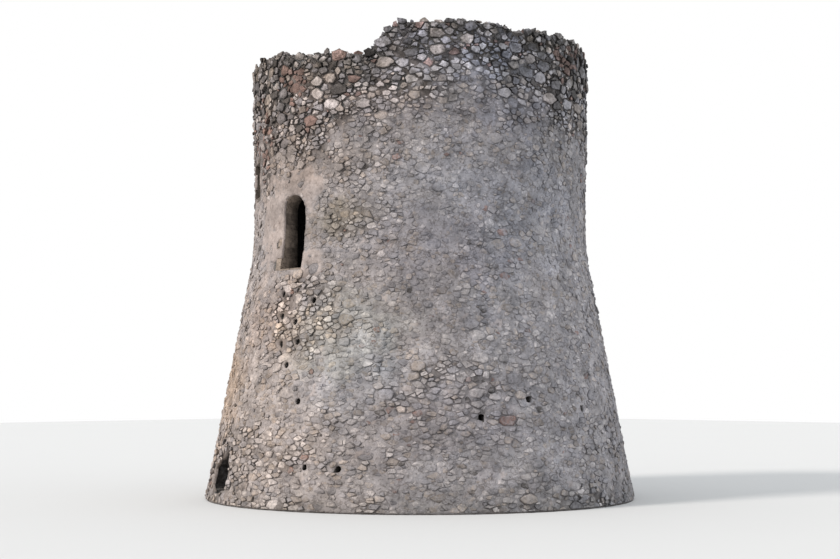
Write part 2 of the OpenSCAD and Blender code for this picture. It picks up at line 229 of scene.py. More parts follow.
class FacingSettings(bpy.types.PropertyGroup):
    large: length("Large stones", "Half the height of a large stone", 0.086)
    middling: length("Middling stones", "Half the height of a middling stone", 0.050)
    small: length("Small stones", "Half the height of a small stone", 0.032)
    chips: length("Chips", "Half the height of the chips that pin the joints", 0.020)
    crown_growth: number("Crown growth", "How much larger the stones are near the crown", 1.15)
    stretch: number("Stretch", "Length of a stone for its height", 1.65)
    closeness: number("Closeness", "Least distance between two stones for the sum of their radii", 0.84)
    joint: length("Joint", "Width of a joint in the pointed wall", 0.008)
    open_joint: length("Open joint", "Width of a joint in the rough rubble", 0.015)
    relief: length("Relief", "How far stones stand out of the core in the pointed wall", 0.022)
    open_relief: length("Open relief", "How far stones stand out of the core in the rough rubble", 0.046)
    uneven: length("Uneven", "Difference in relief from stone to stone", 0.026)
    cleft: number("Cleft", "Height of a stone's broken face for its size", 0.12)
    lean: number("Lean", "How far the stones' faces lean out of the wall's", 0.22)
    seed: seed("Seed of the stones' places", 7)


class RenderSettings(bpy.types.PropertyGroup):
    step: length("Step", "Size of the render's mesh", 0.060)
    cover: length("Cover", "Thickness of the render over the core", 0.009)
    rough: length("Roughness", "Height of the render's unevenness", 0.013)
    shell: length("Shell", "Thickness of the render's mesh", 0.04)


class CrownSettings(bpy.types.PropertyGroup):
    spacing: length("Spacing", "Least distance between loose stones", 0.100)
    stone: length("Stone", "Radius of a loose stone", 0.090)
    seed: seed("Seed of the loose stones", 3)


class MasonryColours(bpy.types.PropertyGroup):
    pale: colour("Pale stone", "Pale limestone", 0.44, 0.42, 0.41)
    grey: colour("Grey stone", "Weathered grey limestone", 0.295, 0.29, 0.30)
    buff: colour("Buff stone", "Warm sandstone", 0.36, 0.325, 0.295)
    red: colour("Red stone", "Reddish stone and brick", 0.31, 0.225, 0.20)
    dark: colour("Dark stone", "Stone black with lichen", 0.12, 0.113, 0.108)
    render: colour("Lime render", "Worn lime render", 0.325, 0.315, 0.318)
    soil: colour("Core", "Earthy mortar deep in the open joints", 0.10, 0.090, 0.083)
    smooth: colour("Smooth render", "Sound render by the doorway", 0.43, 0.39, 0.37)
    dressed: colour("Dressed stone", "Soft dressed sandstone at the openings", 0.37, 0.295, 0.24)
    plaster: colour("Plaster", "Lime plaster inside", 0.20, 0.17, 0.145)
    paving: colour("Paving", "Stone flags", 0.30, 0.265, 0.23)


class StageSettings(bpy.types.PropertyGroup):
    floor: colour("Floor", "Colour of the floor", 0.62, 0.615, 0.605)
    distance: length("Distance", "From the camera to the tower's middle", 28.0)
    eye: length("Eye height", "Height of the camera over the foot", 2.05)
    aim: length("Aim", "Height that the camera looks at", 4.12)
    lens: number("Lens", "Focal length", 63.0, unit="CAMERA")
    sun_left: turning("Sun's side", "Angle of the sun to the left of the camera", 60)
    sun_up: turning("Sun's height", "Angle of the sun over the horizon", 36)
    sun: number("Sun", "Strength of the sun", 2.3)
    sky: number("Sky", "Strength of the sky", 1.05)


def settings(name):
    return getattr(bpy.context.scene, "tower_" + name)


# The wall's shape

def face_radius(z):
    """Radius of the core's outer face at heights z: straight batter, an arc, then the upright drum."""
    s = settings("shape")
    z = np.asarray(z, float)
    waist_r = FOOT_R - s.draw_in
    batter = math.atan(s.draw_in / s.waist_z)
    flare = math.atan(s.swell / (WALL_HEAD_Z - s.waist_z))
    bend_r = s.bend / math.tan((batter + flare) / 2)
    low_z, high_z = s.waist_z - s.bend * math.cos(batter), s.waist_z + s.bend * math.cos(flare)
    mid_r = waist_r + s.bend * math.sin(batter) + bend_r * math.cos(batter)
    mid_z = low_z + bend_r * math.sin(batter)
    arc = mid_r - np.sqrt(np.maximum(bend_r ** 2 - (z - mid_z) ** 2, 0))
    upright = waist_r + (z - s.waist_z) * math.tan(flare)
    straight = np.where(z <= low_z, FOOT_R - z * math.tan(batter), upright)
    return np.where((z > low_z) & (z < high_z), arc, straight)


def crown_line():
    """Angles and heights of the broken crown's outer edge, read from the parapet's solids."""
    found = []
    for name, node in frame["nodes"].items():
        if name.startswith("parapet_"):
            for v in node.data.vertices:
                outer = math.hypot(v.co.x, v.co.y) > TERRACE_R + CROWN_OUTER
                if outer and v.co.z > WALL_HEAD_Z + CROWN_LEAST:
                    found.append((round(math.atan2(v.co.y, v.co.x) % TURN, 3), v.co.z))
    found = sorted(dict(found).items())
    angles = np.array([a for a, _ in found])
    heights = np.array([z for _, z in found])
    return (np.concatenate((angles - TURN, angles, angles + TURN)), np.tile(heights, 3))


CROWN_LINE = crown_line()


def crown_height(angle):
    return np.interp(np.asarray(angle) % TURN, *CROWN_LINE)


def near_crown(angle, z):
    """0 well under the crown, 1 at its edge."""
    return ramp(z, crown_height(angle) - GROWTH_FROM, crown_height(angle) - GROWTH_FULL)


def rough_height(angle):
    """Height above which the rubble has open joints."""
    left = np.degrees(VIEW_ANGLE - np.asarray(angle))
    left = (left + 180) % 360 - 180
    table = sorted(ROUGH_LINE)
    return np.interp(left, [p[0] for p in table], [p[1] for p in table])


def ramp(x, lo, hi):
    t = np.clip((np.asarray(x, float) - lo) / (hi - lo), 0, 1)
    return t * t * (3 - 2 * t)


def waves(points, size, seed=0.0, octaves=3):
    """Smooth noise at points of an (n, 3) array, with features of the given size."""
    shift = Vector((seed * 7.3, seed * 3.1, seed * 5.7))
    return np.array([noise.fractal(Vector(p) / size + shift, 1.0, 2.0, octaves) for p in points])


def on_wall(angle, z, out=0.0):
    r = face_radius(z) + out
    return np.column_stack((r * np.cos(angle), r * np.sin(angle), z))


def nearness(angle, z, at_angle, at_z, reach_along, reach_up):
    """1 at a place on the wall, falling to 0 at an ellipse round it."""
    aside = ((np.asarray(angle) - at_angle + math.pi) % TURN - math.pi) * FLAT_R
    d = np.hypot(aside / reach_along, (np.asarray(z) - at_z) / reach_up)
    return 1 - ramp(d, 0.35, 1.0)


def roughness_at(angle, z):
    """0 where the wall is pointed and rendered, 1 where its joints are open."""
    p = on_wall(angle, z)
    line = rough_height(angle) + 0.45 * waves(p, 0.9, 2)
    rough = ramp(z, line - 1.0, line + 0.8)
    for *patch, much in ROUGH_PATCHES:
        rough = np.maximum(rough, much * nearness(angle, z, *patch))
    foot = (1 - ramp(z, 0.10, 0.60)) * ramp(waves(p, 0.8, 8), -0.25, 0.25)
    return np.clip(np.maximum(rough, 0.55 * foot) + 0.32 * waves(p, 0.40, 5), 0, 1)


def plaster_at(angle, z):
    """1 where smooth plaster still covers the stones."""
    p = on_wall(angle, z)
    found = np.maximum.reduce([nearness(angle, z, *patch) for patch in PLASTERED])
    ragged = found + 0.8 * waves(p, 0.24, 9, 4) + 0.5 * waves(p, 0.07, 3)
    return np.clip(ramp(ragged, 0.30, 0.90), 0, 1)


# The openings, as distances from their outlines on the wall laid out flat

DOOR_W = 0.61
# Middle of the left jamb's face, from the doorway's edge, and half of what shows of it
JAMB_MIDDLE, JAMB_HALF = 0.09, 0.11
WINDOW_W, WINDOW_LOW, WINDOW_HIGH = 0.60, 5.57, 6.21
# The breach's outline, as distance along X and height, and where its middle lies along X
BREACH = (
    (-0.440, 0.340), (-0.370, 0.250), (-0.240, 0.230), (-0.180, 0.160), (0.060, 0.150), (0.140, 0.220),
    (0.310, 0.230), (0.420, 0.370), (0.360, 0.480), (0.400, 0.660), (0.300, 0.760), (0.310, 0.900),
    (0.230, 1.060), (0.130, 0.990), (0.110, 0.860), (-0.040, 0.780), (-0.150, 0.820), (-0.240, 0.690),
    (-0.390, 0.640), (-0.360, 0.500),
)
BREACH_X = -1.376
# Empty scaffold holes and lost stones, as angle in degrees and height, and their radius
PUTLOG_R = 0.061
PUTLOGS = (
    (345, 1.86), (5, 1.69), (331, 1.57), (268.5, 3.69), (269.5, 3.30), (275.5, 3.20), (271, 2.82),
    (277.5, 2.85), (274.5, 2.45), (280.5, 1.83), (281.7, 3.56), (285, 0.74), (294.5, 0.72), (23.8, 6.05),
)


def box_distance(x, y, half_x, low, high):
    dx = np.abs(x) - half_x
    dy = np.maximum(low - y, y - high)
    outside = np.hypot(np.maximum(dx, 0), np.maximum(dy, 0))
    return outside + np.minimum(np.maximum(dx, dy), 0)


def ring_distance(x, y, ring):
    """Distance of points from a ring of corners, negative inside it."""
    nearest = np.full(np.shape(x), np.inf)
    inside = np.zeros(np.shape(x), bool)
    for (ax, ay), (bx, by) in zip(ring, ring[1:] + ring[:1]):
        ex, ey = bx - ax, by - ay
        t = np.clip(((x - ax) * ex + (y - ay) * ey) / (ex * ex + ey * ey), 0, 1)
        nearest = np.minimum(nearest, np.hypot(x - ax - t * ex, y - ay - t * ey))
        if ey != 0:
            inside ^= ((ay > y) != (by > y)) & (x < ax + (y - ay) * ex / ey)
    return np.where(inside, -nearest, nearest)


def along(angle, z, at):
    """Distance along the face from the angle called at, positive towards the camera's right."""
    return ((angle - at + math.pi) % TURN - math.pi) * face_radius(z)


def dressed_distance(angle, z):
    """Distance from the dressed stones that show beside the doorway and the window."""
    jamb = box_distance(along(angle, z, FRONT) + DOOR_W / 2 + JAMB_MIDDLE, z, JAMB_HALF,
                        DOOR_LOW, DOOR_SPRING_Z + 0.05)
    window = box_distance(along(angle, z, WINDOW_ANGLE), z, WINDOW_W / 2 + 0.05,
                          WINDOW_LOW - 0.06, WINDOW_HIGH + 0.08)
    return np.minimum(jamb, window)


def opening_distance(angle, z):
    """Distance from the nearest opening, negative inside it."""
    x = along(angle, z, FRONT)
    half = DOOR_W / 2 - 0.01
    shaft = box_distance(x, z, half, DOOR_LOW - 0.03, DOOR_SPRING_Z)
    head = np.hypot(x, z - DOOR_SPRING_Z) - half
    breach = ring_distance(face_radius(z) * np.cos(angle) - BREACH_X, z, BREACH)
    breach = np.where(np.sin(angle) < 0, breach, np.inf) + 0.02
    window = box_distance(along(angle, z, WINDOW_ANGLE), z, WINDOW_W / 2, WINDOW_LOW, WINDOW_HIGH)
    found = np.minimum.reduce((shaft, head, window, breach))
    for hole_angle, hole_z in PUTLOGS:
        hole = np.hypot(along(angle, z, math.radians(hole_angle)), z - hole_z)
        found = np.minimum(found, hole - PUTLOG_R)
    return found


def bare_distance(angle, z):
    """Distance from the nearest opening or dressed stone, negative inside it."""
    return np.minimum(opening_distance(angle, z), dressed_distance(angle, z))


def distance_and_slope(distance, angle, z, step=0.004):
    """A distance at places on the wall, and the direction in which it grows."""
    d = distance(angle, z)
    across = (distance(angle + step / face_radius(z), z) - d) / step
    up = (distance(angle, z + step) - d) / step
    size = np.maximum(np.hypot(across, up), 1e-6)
    return d, across / size, up / size


# The places and outlines of the rubble stones

# Side of a cell of the grid in which a stone's neighbours are looked up
CELL = 0.14
# How many chance turns of shared edges are drawn
EDGE_TURNS = 997


def dart_throw(rng, classes, opened_at, s, period, height):
    """Places of stones of several sizes that don't overlap, the large ones first.

    Works on the wall laid out flat with its length divided by stretch. Each class is a radius, a
    number of tries and how many of them count in the pointed wall, for one in the open rubble."""
    grown, stretch, closeness = s.crown_growth, s.stretch, s.closeness
    columns = int(period / stretch / CELL)
    width = period / stretch
    size = width / columns
    grid, places, radii = {}, [], []
    for radius, tries, share in classes:
        x = rng.random(tries) * width
        y = rng.random(tries) * height
        opened = opened_at(x * stretch, y)
        counted = rng.random(tries) < share + (1 - share) * opened
        x, y, opened = x[counted], y[counted], opened[counted]
        r = radius * (1 + (grown - 1) * opened) * rng.uniform(*SIZE_RANGE, len(x))
        for px, py, pr in zip(x.tolist(), y.tolist(), r.tolist()):
            cx, cy = int(px / size), int(py / size)
            clear = True
            for gx in range(cx - 2, cx + 3):
                for gy in range(cy - 2, cy + 3):
                    for k in grid.get((gx % columns, gy), ()):
                        dx = (places[k][0] - px + width / 2) % width - width / 2
                        reach = closeness * (radii[k] + pr)
                        if dx * dx + (places[k][1] - py) ** 2 < reach * reach:
                            clear = False
                            break
                    if not clear:
                        break
                if not clear:
                    break
            if clear:
                grid.setdefault((cx % columns, cy), []).append(len(places))
                places.append((px, py))
                radii.append(pr)
    return places, radii, grid, size, columns, width


def clipped(ring, normal, reach):
    """The part of a polygon, about its own origin, where the distance along normal is under reach."""
    nx, ny = normal
    side = [x * nx + y * ny - reach for x, y in ring]
    out = []
    for k, (x, y) in enumerate(ring):
        n = (k + 1) % len(ring)
        if side[k] <= 0:
            out.append((x, y))
        if (side[k] < 0 < side[n]) or (side[n] < 0 < side[k]):
            t = side[k] / (side[k] - side[n])
            out.append((x + (ring[n][0] - x) * t, y + (ring[n][1] - y) * t))
    return out


def stone_outlines(rng, places, radii, grid, size, columns, width):
    """A polygon for each stone, cut where it meets its neighbours along edges turned by chance."""
    rings = []
    turns = rng.uniform(-EDGE_TURN, EDGE_TURN, EDGE_TURNS)
    for k, ((px, py), r) in enumerate(zip(places, radii)):
        corners = 7 if r > SEVEN_CORNERS_R else 6
        turn = rng.random() * TURN
        far = r * rng.uniform(*CORNER_RANGE, corners)
        at = turn + (np.arange(corners) + rng.uniform(-0.3, 0.3, corners)) * TURN / corners
        ring = list(zip((far * np.cos(at)).tolist(), (far * np.sin(at)).tolist()))
        cx, cy = int(px / size), int(py / size)
        for gx in range(cx - 2, cx + 3):
            for gy in range(cy - 2, cy + 3):
                for n in grid.get((gx % columns, gy), ()):
                    if n == k:
                        continue
                    dx = (places[n][0] - px + width / 2) % width - width / 2
                    dy = places[n][1] - py
                    gap = math.hypot(dx, dy)
                    if gap < 1.6 * (r + radii[n]) and len(ring) > 2:
                        # Both stones of a pair find the same turn, so they share one edge
                        reach = (gap * gap + r * r - radii[n] ** 2) / (2 * gap)
                        by = turns[(k * n + k + n) % EDGE_TURNS]
                        c, s = math.cos(by), math.sin(by)
                        normal = ((dx * c - dy * s) / gap, (dx * s + dy * c) / gap)
                        ring = clipped(ring, normal, reach * c)
        rings.append(ring)
    return rings


def worn_corners(ring, rng):
    """Breaks about half of a polygon's corners, and drops corners that lie close together."""
    count = len(ring)
    cut = rng.uniform(*CORNER_CUT, (count, 2))
    broken = rng.random(count) < 0.5
    out = []
    for k in range(count):
        before, here, after = np.array(ring[k - 1]), np.array(ring[k]), np.array(ring[(k + 1) % count])
        ends = (here,)
        if broken[k]:
            ends = (here + (before - here) * cut[k, 0], here + (after - here) * cut[k, 1])
        for p in ends:
            if not out or np.hypot(*(p - out[-1])) > LEAST_SIDE:
                out.append(p)
    while len(out) > 3 and np.hypot(*(out[0] - out[-1])) < LEAST_SIDE:
        out.pop()
    return np.array(out)


def jagged(ring, rng):
    """Breaks the long edges of an outline at their middles, mostly inwards."""
    out = []
    for here, after in zip(ring, np.roll(ring, -1, axis=0)):
        out.append(here)
        edge = after - here
        if np.hypot(*edge) > LONG_EDGE:
            middle = here + edge * rng.uniform(0.35, 0.65)
            out.append(middle + np.array((-edge[1], edge[0])) * rng.uniform(-0.04, 0.16))
    return np.array(out)


def area_of(ring):
    x, y = ring[:, 0], ring[:, 1]
    return abs(np.dot(x, np.roll(y, -1)) - np.dot(y, np.roll(x, -1))) / 2


def polygon_mesh(name, rings, values):
    """A mesh of separate polygons, with one float attribute on its faces for each entry of values."""
    verts = np.vstack(rings)
    sizes = np.array([len(r) for r in rings])
    starts = np.concatenate(((0,), np.cumsum(sizes)[:-1]))
    mesh = bpy.data.meshes.new(name)
    mesh.from_pydata(verts.tolist(), [], [list(range(s, s + n)) for s, n in zip(starts, sizes)])
    set_values(mesh, values, "FACE")
    mesh.update()
    return mesh


def set_values(mesh, values, domain):
    for key, each in values.items():
        layer = mesh.attributes.new(key, "FLOAT", domain)
        layer.data.foreach_set("value", np.asarray(each, dtype=np.float32))


# Node helpers

def add_node(tree, kind, inputs=None, **props):
    """A node with its properties set, and its inputs linked to sockets or set to constants."""
    node = tree.nodes.new(kind)
    for key, value in props.items():
        setattr(node, key, value)
    for key, value in (inputs or {}).items():
        socket = node.inputs[key]
        if isinstance(value, bpy.types.NodeSocket):
            tree.links.new(value, socket)
        else:
            socket.default_value = value
    return node


def calc(tree, operation, a, b=0.0, c=0.0):
    return add_node(tree, "ShaderNodeMath", {0: a, 1: b, 2: c}, operation=operation).outputs[0]


def times(tree, a, b):
    return calc(tree, "MULTIPLY", a, b)


def blend_value(tree, factor, a, b):
    return calc(tree, "MULTIPLY_ADD", factor, calc(tree, "SUBTRACT", b, a), a)


def vector_calc(tree, operation, a, b=(0.0, 0.0, 0.0)):
    """A step on vectors. Length and dot product give a number, all others a vector."""
    node = add_node(tree, "ShaderNodeVectorMath", {0: a, 1: b}, operation=operation)
    return node.outputs[1 if operation in ("LENGTH", "DOT_PRODUCT") else 0]


def vector_times(tree, vector, by):
    return add_node(tree, "ShaderNodeVectorMath", {0: vector, "Scale": by}, operation="SCALE").outputs[0]


def chance(tree, lo, hi, seed, kind="FLOAT"):
    """A random number or vector for each element between lo and hi."""
    node = add_node(tree, "FunctionNodeRandomValue", {"Seed": seed}, data_type=kind)
    first = 0 if kind == "FLOAT_VECTOR" else 2
    node.inputs[first].default_value, node.inputs[first + 1].default_value = lo, hi
    return node.outputs[0 if kind == "FLOAT_VECTOR" else 1]


def position(tree):
    return tree.nodes.new("GeometryNodeInputPosition").outputs[0]


def outward(tree):
    """The level direction out of the tower at each place."""
    return vector_calc(tree, "NORMALIZE", vector_calc(tree, "MULTIPLY", position(tree), (1, 1, 0)))


def shaped_noise(tree, size, amount, seed=0.0):
    """A vector of smooth noise with features of the given size, as long as amount."""
    shifted = vector_calc(tree, "ADD", position(tree), (seed, seed * 0.7, seed * 0.3))
    field = add_node(tree, "ShaderNodeTexNoise", {"Vector": shifted, "Scale": 1 / size, "Detail": 2.0})
    return vector_times(tree, vector_calc(tree, "SUBTRACT", field.outputs["Color"], HALVES), amount)


def read(tree, name, kind="FLOAT"):
    return add_node(tree, "GeometryNodeInputNamedAttribute", {"Name": name}, data_type=kind).outputs[0]


def store(tree, geo, name, value, domain="FACE", selection=True, kind="FLOAT"):
    return add_node(tree, "GeometryNodeStoreNamedAttribute",
                    {"Geometry": geo, "Selection": selection, "Name": name, "Value": value},
                    data_type=kind, domain=domain).outputs[0]


def lift(tree, mesh, by, selection=True):
    """Lifts faces off a mesh. Gives the mesh and which of its faces are the lifted ones, by name."""
    return add_node(tree, "GeometryNodeExtrudeMesh",
                    {"Mesh": mesh, "Selection": selection, "Offset Scale": by}).outputs


def scale_faces(tree, geo, scale, **more):
    return add_node(tree, "GeometryNodeScaleElements", {"Geometry": geo, "Scale": scale, **more},
                    domain="FACE").outputs[0]


def move(tree, geo, by):
    return add_node(tree, "GeometryNodeSetPosition", {"Geometry": geo, "Offset": by}).outputs[0]


def new_tree(name, *sizes):
    """A geometry node tree whose inputs are a geometry, the named sizes and a seed."""
    tree = bpy.data.node_groups.new(name, "GeometryNodeTree")
    tree.interface.new_socket("Geometry", in_out="INPUT", socket_type="NodeSocketGeometry")
    for label in sizes:
        tree.interface.new_socket(label, in_out="INPUT", socket_type="NodeSocketFloat")
    tree.interface.new_socket("Seed", in_out="INPUT", socket_type="NodeSocketInt")
    tree.interface.new_socket("Geometry", in_out="OUTPUT", socket_type="NodeSocketGeometry")
    return tree, tree.nodes.new("NodeGroupInput").outputs


def finish_tree(tree, geo, mat):
    real = add_node(tree, "GeometryNodeRealizeInstances", {"Geometry": geo}).outputs[0]
    skin = add_node(tree, "GeometryNodeSetMaterial", {"Geometry": real, "Material": mat}).outputs[0]
    out = tree.nodes.new("NodeGroupOutput")
    tree.links.new(skin, out.inputs[0])
    return tree


# The trees that make the stones

def stone_tree(mat):
    """Turns flat outlines on a wall into closed stones with cleft faces, standing out of the core."""
    tree, given = new_tree(
        "Rubble stones", "Joint", "Open joint", "Relief", "Open relief", "Uneven", "Cleft", "Lean")
    rough = read(tree, "rough")
    split = add_node(tree, "GeometryNodeSplitEdges", {"Mesh": given["Geometry"]}).outputs[0]
    side = calc(tree, "SQRT", tree.nodes.new("GeometryNodeInputMeshFaceArea").outputs[0])
    width = blend_value(tree, rough, given["Joint"], given["Open joint"])
    joint = times(tree, width, chance(tree, 0.2, 1.8, 21))
    fit = calc(tree, "MAXIMUM", calc(tree, "SUBTRACT", 1.0, calc(tree, "DIVIDE", joint, side)), 0.45)
    apart = scale_faces(tree, split, fit)
    level = blend_value(tree, rough, given["Relief"], given["Open relief"])
    differ = blend_value(tree, rough, times(tree, given["Uneven"], 0.4), given["Uneven"])
    height = calc(tree, "MULTIPLY_ADD", chance(tree, -1.0, 1.0, given["Seed"]), differ, level)
    height = times(tree, height, read(tree, "sunk"))
    # What is worked out on the flat outline is kept for the steps after it: the stone's height, its
    # middle, the lean of its face, and how high and far aside its face is broken
    lean = vector_times(tree, chance(tree, (-1, -1, -1), (1, 1, 1), 22, "FLOAT_VECTOR"), given["Lean"])
    aside = vector_times(tree, chance(tree, (-1, -1, -1), (1, 1, 1), 23, "FLOAT_VECTOR"),
                         times(tree, side, 0.22))
    aside = vector_calc(tree, "SUBTRACT", aside, vector_calc(tree, "PROJECT", aside, outward(tree)))
    marked = store(tree, store(tree, apart, "height", height), "side", side)
    for label, value in (("middle", position(tree)), ("lean", lean), ("aside", aside)):
        marked = store(tree, marked, label, value, kind="FLOAT_VECTOR")
    # The first lift makes the stone's sides, the next its broken arris and the last its cleft face
    back = add_node(tree, "GeometryNodeFlipFaces", {"Mesh": marked}).outputs[0]
    edge = calc(tree, "MINIMUM", times(tree, read(tree, "side"), 0.10), 0.012)
    body = lift(tree, marked, calc(tree, "SUBTRACT", read(tree, "height"), edge))
    arris = lift(tree, body["Mesh"], edge, body["Top"])
    drawn_in = scale_faces(tree, arris["Mesh"], chance(tree, 0.72, 0.90, 24), Selection=arris["Top"])
    # The stone's face is marked proud; the material paints shade on the sides below it
    proud = store(tree, drawn_in, "proud", 1.0, "POINT", arris["Top"])
    cleft = times(tree, times(tree, read(tree, "side"), given["Cleft"]), chance(tree, -0.3, 1.0, 25))
    face = lift(tree, proud, cleft, arris["Top"])
    peak = vector_calc(tree, "ADD", position(tree), read(tree, "aside", "FLOAT_VECTOR"))
    pointed = scale_faces(tree, face["Mesh"], 0.0, Selection=face["Top"], Center=peak)
    joined = add_node(tree, "GeometryNodeJoinGeometry")
    for part in (pointed, back):
        tree.links.new(part, joined.inputs[0])
    closed = add_node(tree, "GeometryNodeMergeByDistance",
                      {"Geometry": joined.outputs[0], "Distance": 0.0004}).outputs[0]
    away = vector_calc(tree, "SUBTRACT", position(tree), read(tree, "middle", "FLOAT_VECTOR"))
    tip = vector_calc(tree, "DOT_PRODUCT", away, read(tree, "lean", "FLOAT_VECTOR"))
    tipped = vector_times(tree, outward(tree), tip)
    coarse = shaped_noise(tree, 0.06, blend_value(tree, rough, 0.016, 0.034), 3.0)
    fine = shaped_noise(tree, 0.02, blend_value(tree, rough, 0.012, 0.022), 8.0)
    wobble = vector_calc(tree, "ADD", coarse, fine)
    shaped = move(tree, closed, vector_calc(tree, "ADD", wobble, tipped))
    for label in ("middle", "lean", "aside", "side", "height", "sunk"):
        shaped = add_node(tree, "GeometryNodeRemoveAttribute", {"Geometry": shaped, "Name": label}).outputs[0]
    return finish_tree(tree, shaped, mat)


def new_object(name, data):
    made = bpy.data.objects.new(name, data)
    bpy.context.scene.collection.objects.link(made)
    return made


def ordered_mesh(name, bm):
    """A mesh from a bmesh, its corners and faces in an order that is the same in each run."""
    corners = sorted(bm.verts, key=lambda v: tuple(v.co))
    rank = {v: k for k, v in enumerate(corners)}
    faces = []
    for face in bm.faces:
        ring = [rank[v] for v in face.verts]
        first = ring.index(min(ring))
        faces.append(ring[first:] + ring[:first])
    mesh = bpy.data.meshes.new(name)
    mesh.from_pydata([tuple(v.co) for v in corners], [], sorted(faces))
    bm.free()
    return mesh


def rock_shapes(rng):
    """Broken stones of about unit radius: the hulls of scattered points, with their arrises worn."""
    rocks = []
    for k in range(ROCKS):
        bm = bmesh.new()
        for p in rng.normal(size=(ROCK_POINTS, 3)):
            p = p / np.linalg.norm(p) * rng.uniform(0.70, 1.10)
            bm.verts.new(p)
        bmesh.ops.convex_hull(bm, input=list(bm.verts))
        loose = [v for v in bm.verts if not v.link_faces]
        bmesh.ops.delete(bm, geom=loose, context="VERTS")
        bmesh.ops.dissolve_limit(bm, angle_limit=0.35, verts=list(bm.verts), edges=list(bm.edges))
        bmesh.ops.bevel(
            bm, geom=list(bm.edges), offset=0.06, segments=1, affect="EDGES", clamp_overlap=True)
        bmesh.ops.triangulate(bm, faces=list(bm.faces))
        rocks.append(new_object(f"rock_{k}", ordered_mesh(f"rock_{k}", bm)))
    return rocks


def loose_stone_tree(mat, rocks):
    """Scatters loose stones over a surface, each one of the rocks, turned and sized by chance."""
    tree, given = new_tree("Loose stones", "Spacing", "Stone")
    places = add_node(tree, "GeometryNodeDistributePointsOnFaces",
                      {"Mesh": given["Geometry"], "Distance Min": given["Spacing"], "Density Max": 90.0,
                       "Seed": given["Seed"]}, distribute_method="POISSON")
    shapes = add_node(tree, "GeometryNodeJoinGeometry")
    for rock in rocks:
        shape = add_node(tree, "GeometryNodeObjectInfo", {"Object": rock, "As Instance": True})
        tree.links.new(shape.outputs["Geometry"], shapes.inputs[0])
    turn = chance(tree, (-0.4, -0.4, 0.0), (0.4, 0.4, TURN), 11, "FLOAT_VECTOR")
    size = chance(tree, (0.50, 0.42, 0.40), (1.60, 1.2, 1.0), 12, "FLOAT_VECTOR")
    stones = add_node(tree, "GeometryNodeInstanceOnPoints",
                      {"Points": places.outputs["Points"], "Instance": shapes.outputs[0],
                       "Pick Instance": True, "Rotation": turn,
                       "Scale": vector_times(tree, size, given["Stone"])}).outputs[0]
    toned = store(tree, stones, "tone", chance(tree, 0.0, 1.0, 13), "INSTANCE")
    marked = add_node(tree, "GeometryNodeRealizeInstances", {"Geometry": toned}).outputs[0]
    for label, value in (("rough", 1.0), ("proud", 1.0), ("grown", 0.6)):
        marked = store(tree, marked, label, value, "POINT")
    return finish_tree(tree, move(tree, marked, shaped_noise(tree, 0.06, 0.03, 5.0)), mat)


def bake(name, mesh, tree, group):
    """Runs a tree over a mesh and keeps the result as a plain piece that rides on the tower.

    Each input of the tree takes the setting of the same name. Nothing is left under the ground."""
    piece = new_object(name, mesh)
    work = piece.modifiers.new("Nodes", "NODES")
    work.node_group = tree
    for item in tree.interface.items_tree:
        if item.in_out == "INPUT" and item.name != "Geometry":
            work[item.identifier] = getattr(group, item.name.lower().replace(" ", "_"))
    shown = piece.evaluated_get(bpy.context.evaluated_depsgraph_get())
    made = bpy.data.meshes.new_from_object(shown)
    made.name = name
    places = np.empty(3 * len(made.vertices), np.float32)
    made.vertices.foreach_get("co", places)
    places[2::3] = np.maximum(places[2::3], 0.0)
    made.vertices.foreach_set("co", places)
    piece.modifiers.clear()
    piece.data = made
    bpy.data.meshes.remove(mesh)
    keep(piece)


def keep(piece):
    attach(piece, "root")
    return piece


# Materials

def new_material(name):
    mat = bpy.data.materials.new(name)
    mat.use_nodes = True
    return mat, mat.node_tree


def finish_material(mat, colour, height=None, distance=0.0, strength=0.0):
    """Gives a dull material its colour and, from a height, its fine relief."""
    tree = mat.node_tree
    shader = tree.nodes["Principled BSDF"]
    shader.inputs["Specular IOR Level"].default_value = DULL_SPECULAR
    shader.inputs["Roughness"].default_value = DULL_ROUGHNESS
    tree.links.new(colour, shader.inputs["Base Color"])
    if height is not None:
        given = {"Height": height, "Distance": distance, "Strength": strength}
        bump = add_node(tree, "ShaderNodeBump", given)
        tree.links.new(bump.outputs[0], shader.inputs["Normal"])
    return mat


def object_place(tree):
    return tree.nodes.new("ShaderNodeTexCoord").outputs["Object"]


def height_at(tree, place):
    return add_node(tree, "ShaderNodeSeparateXYZ", {0: place}).outputs["Z"]


def attribute(tree, name):
    return add_node(tree, "ShaderNodeAttribute", attribute_name=name).outputs["Fac"]


def cloud(tree, scale, detail=4.0, stretch=(1, 1, 1), roughness=0.55):
    place = add_node(tree, "ShaderNodeMapping", {"Vector": object_place(tree), "Scale": stretch}).outputs[0]
    return add_node(tree, "ShaderNodeTexNoise",
                    {"Vector": place, "Scale": scale, "Detail": detail, "Roughness": roughness}).outputs[0]


def spread(tree, value, lo, hi, to_lo=0.0, to_hi=1.0):
    ends = {"From Min": lo, "From Max": hi, "To Min": to_lo, "To Max": to_hi}
    return add_node(tree, "ShaderNodeMapRange", {"Value": value, **ends}).outputs[0]


def mix(tree, factor, a, b, mode="MIX"):
    """A blend of two colours, each of them a socket or three numbers."""
    a, b = (c if isinstance(c, bpy.types.NodeSocket) else (*c, 1.0) for c in (a, b))
    return add_node(tree, "ShaderNodeMix", {0: factor, 6: a, 7: b},
                    data_type="RGBA", blend_type=mode).outputs[2]


def tint_by(tree, factor, under, tint):
    return mix(tree, factor, under, tint, "MULTIPLY")


def grey(value):
    return (value, value, value)


HALVES = grey(0.5)


def scaled(shade, by):
    return tuple(by * part for part in shade)


def wandering(tree, scale, amount):
    """A vector that shifts a pattern to and fro."""
    field = add_node(tree, "ShaderNodeTexNoise", {"Vector": object_place(tree), "Scale": scale})
    return vector_times(tree, vector_calc(tree, "SUBTRACT", field.outputs["Color"], HALVES), amount)


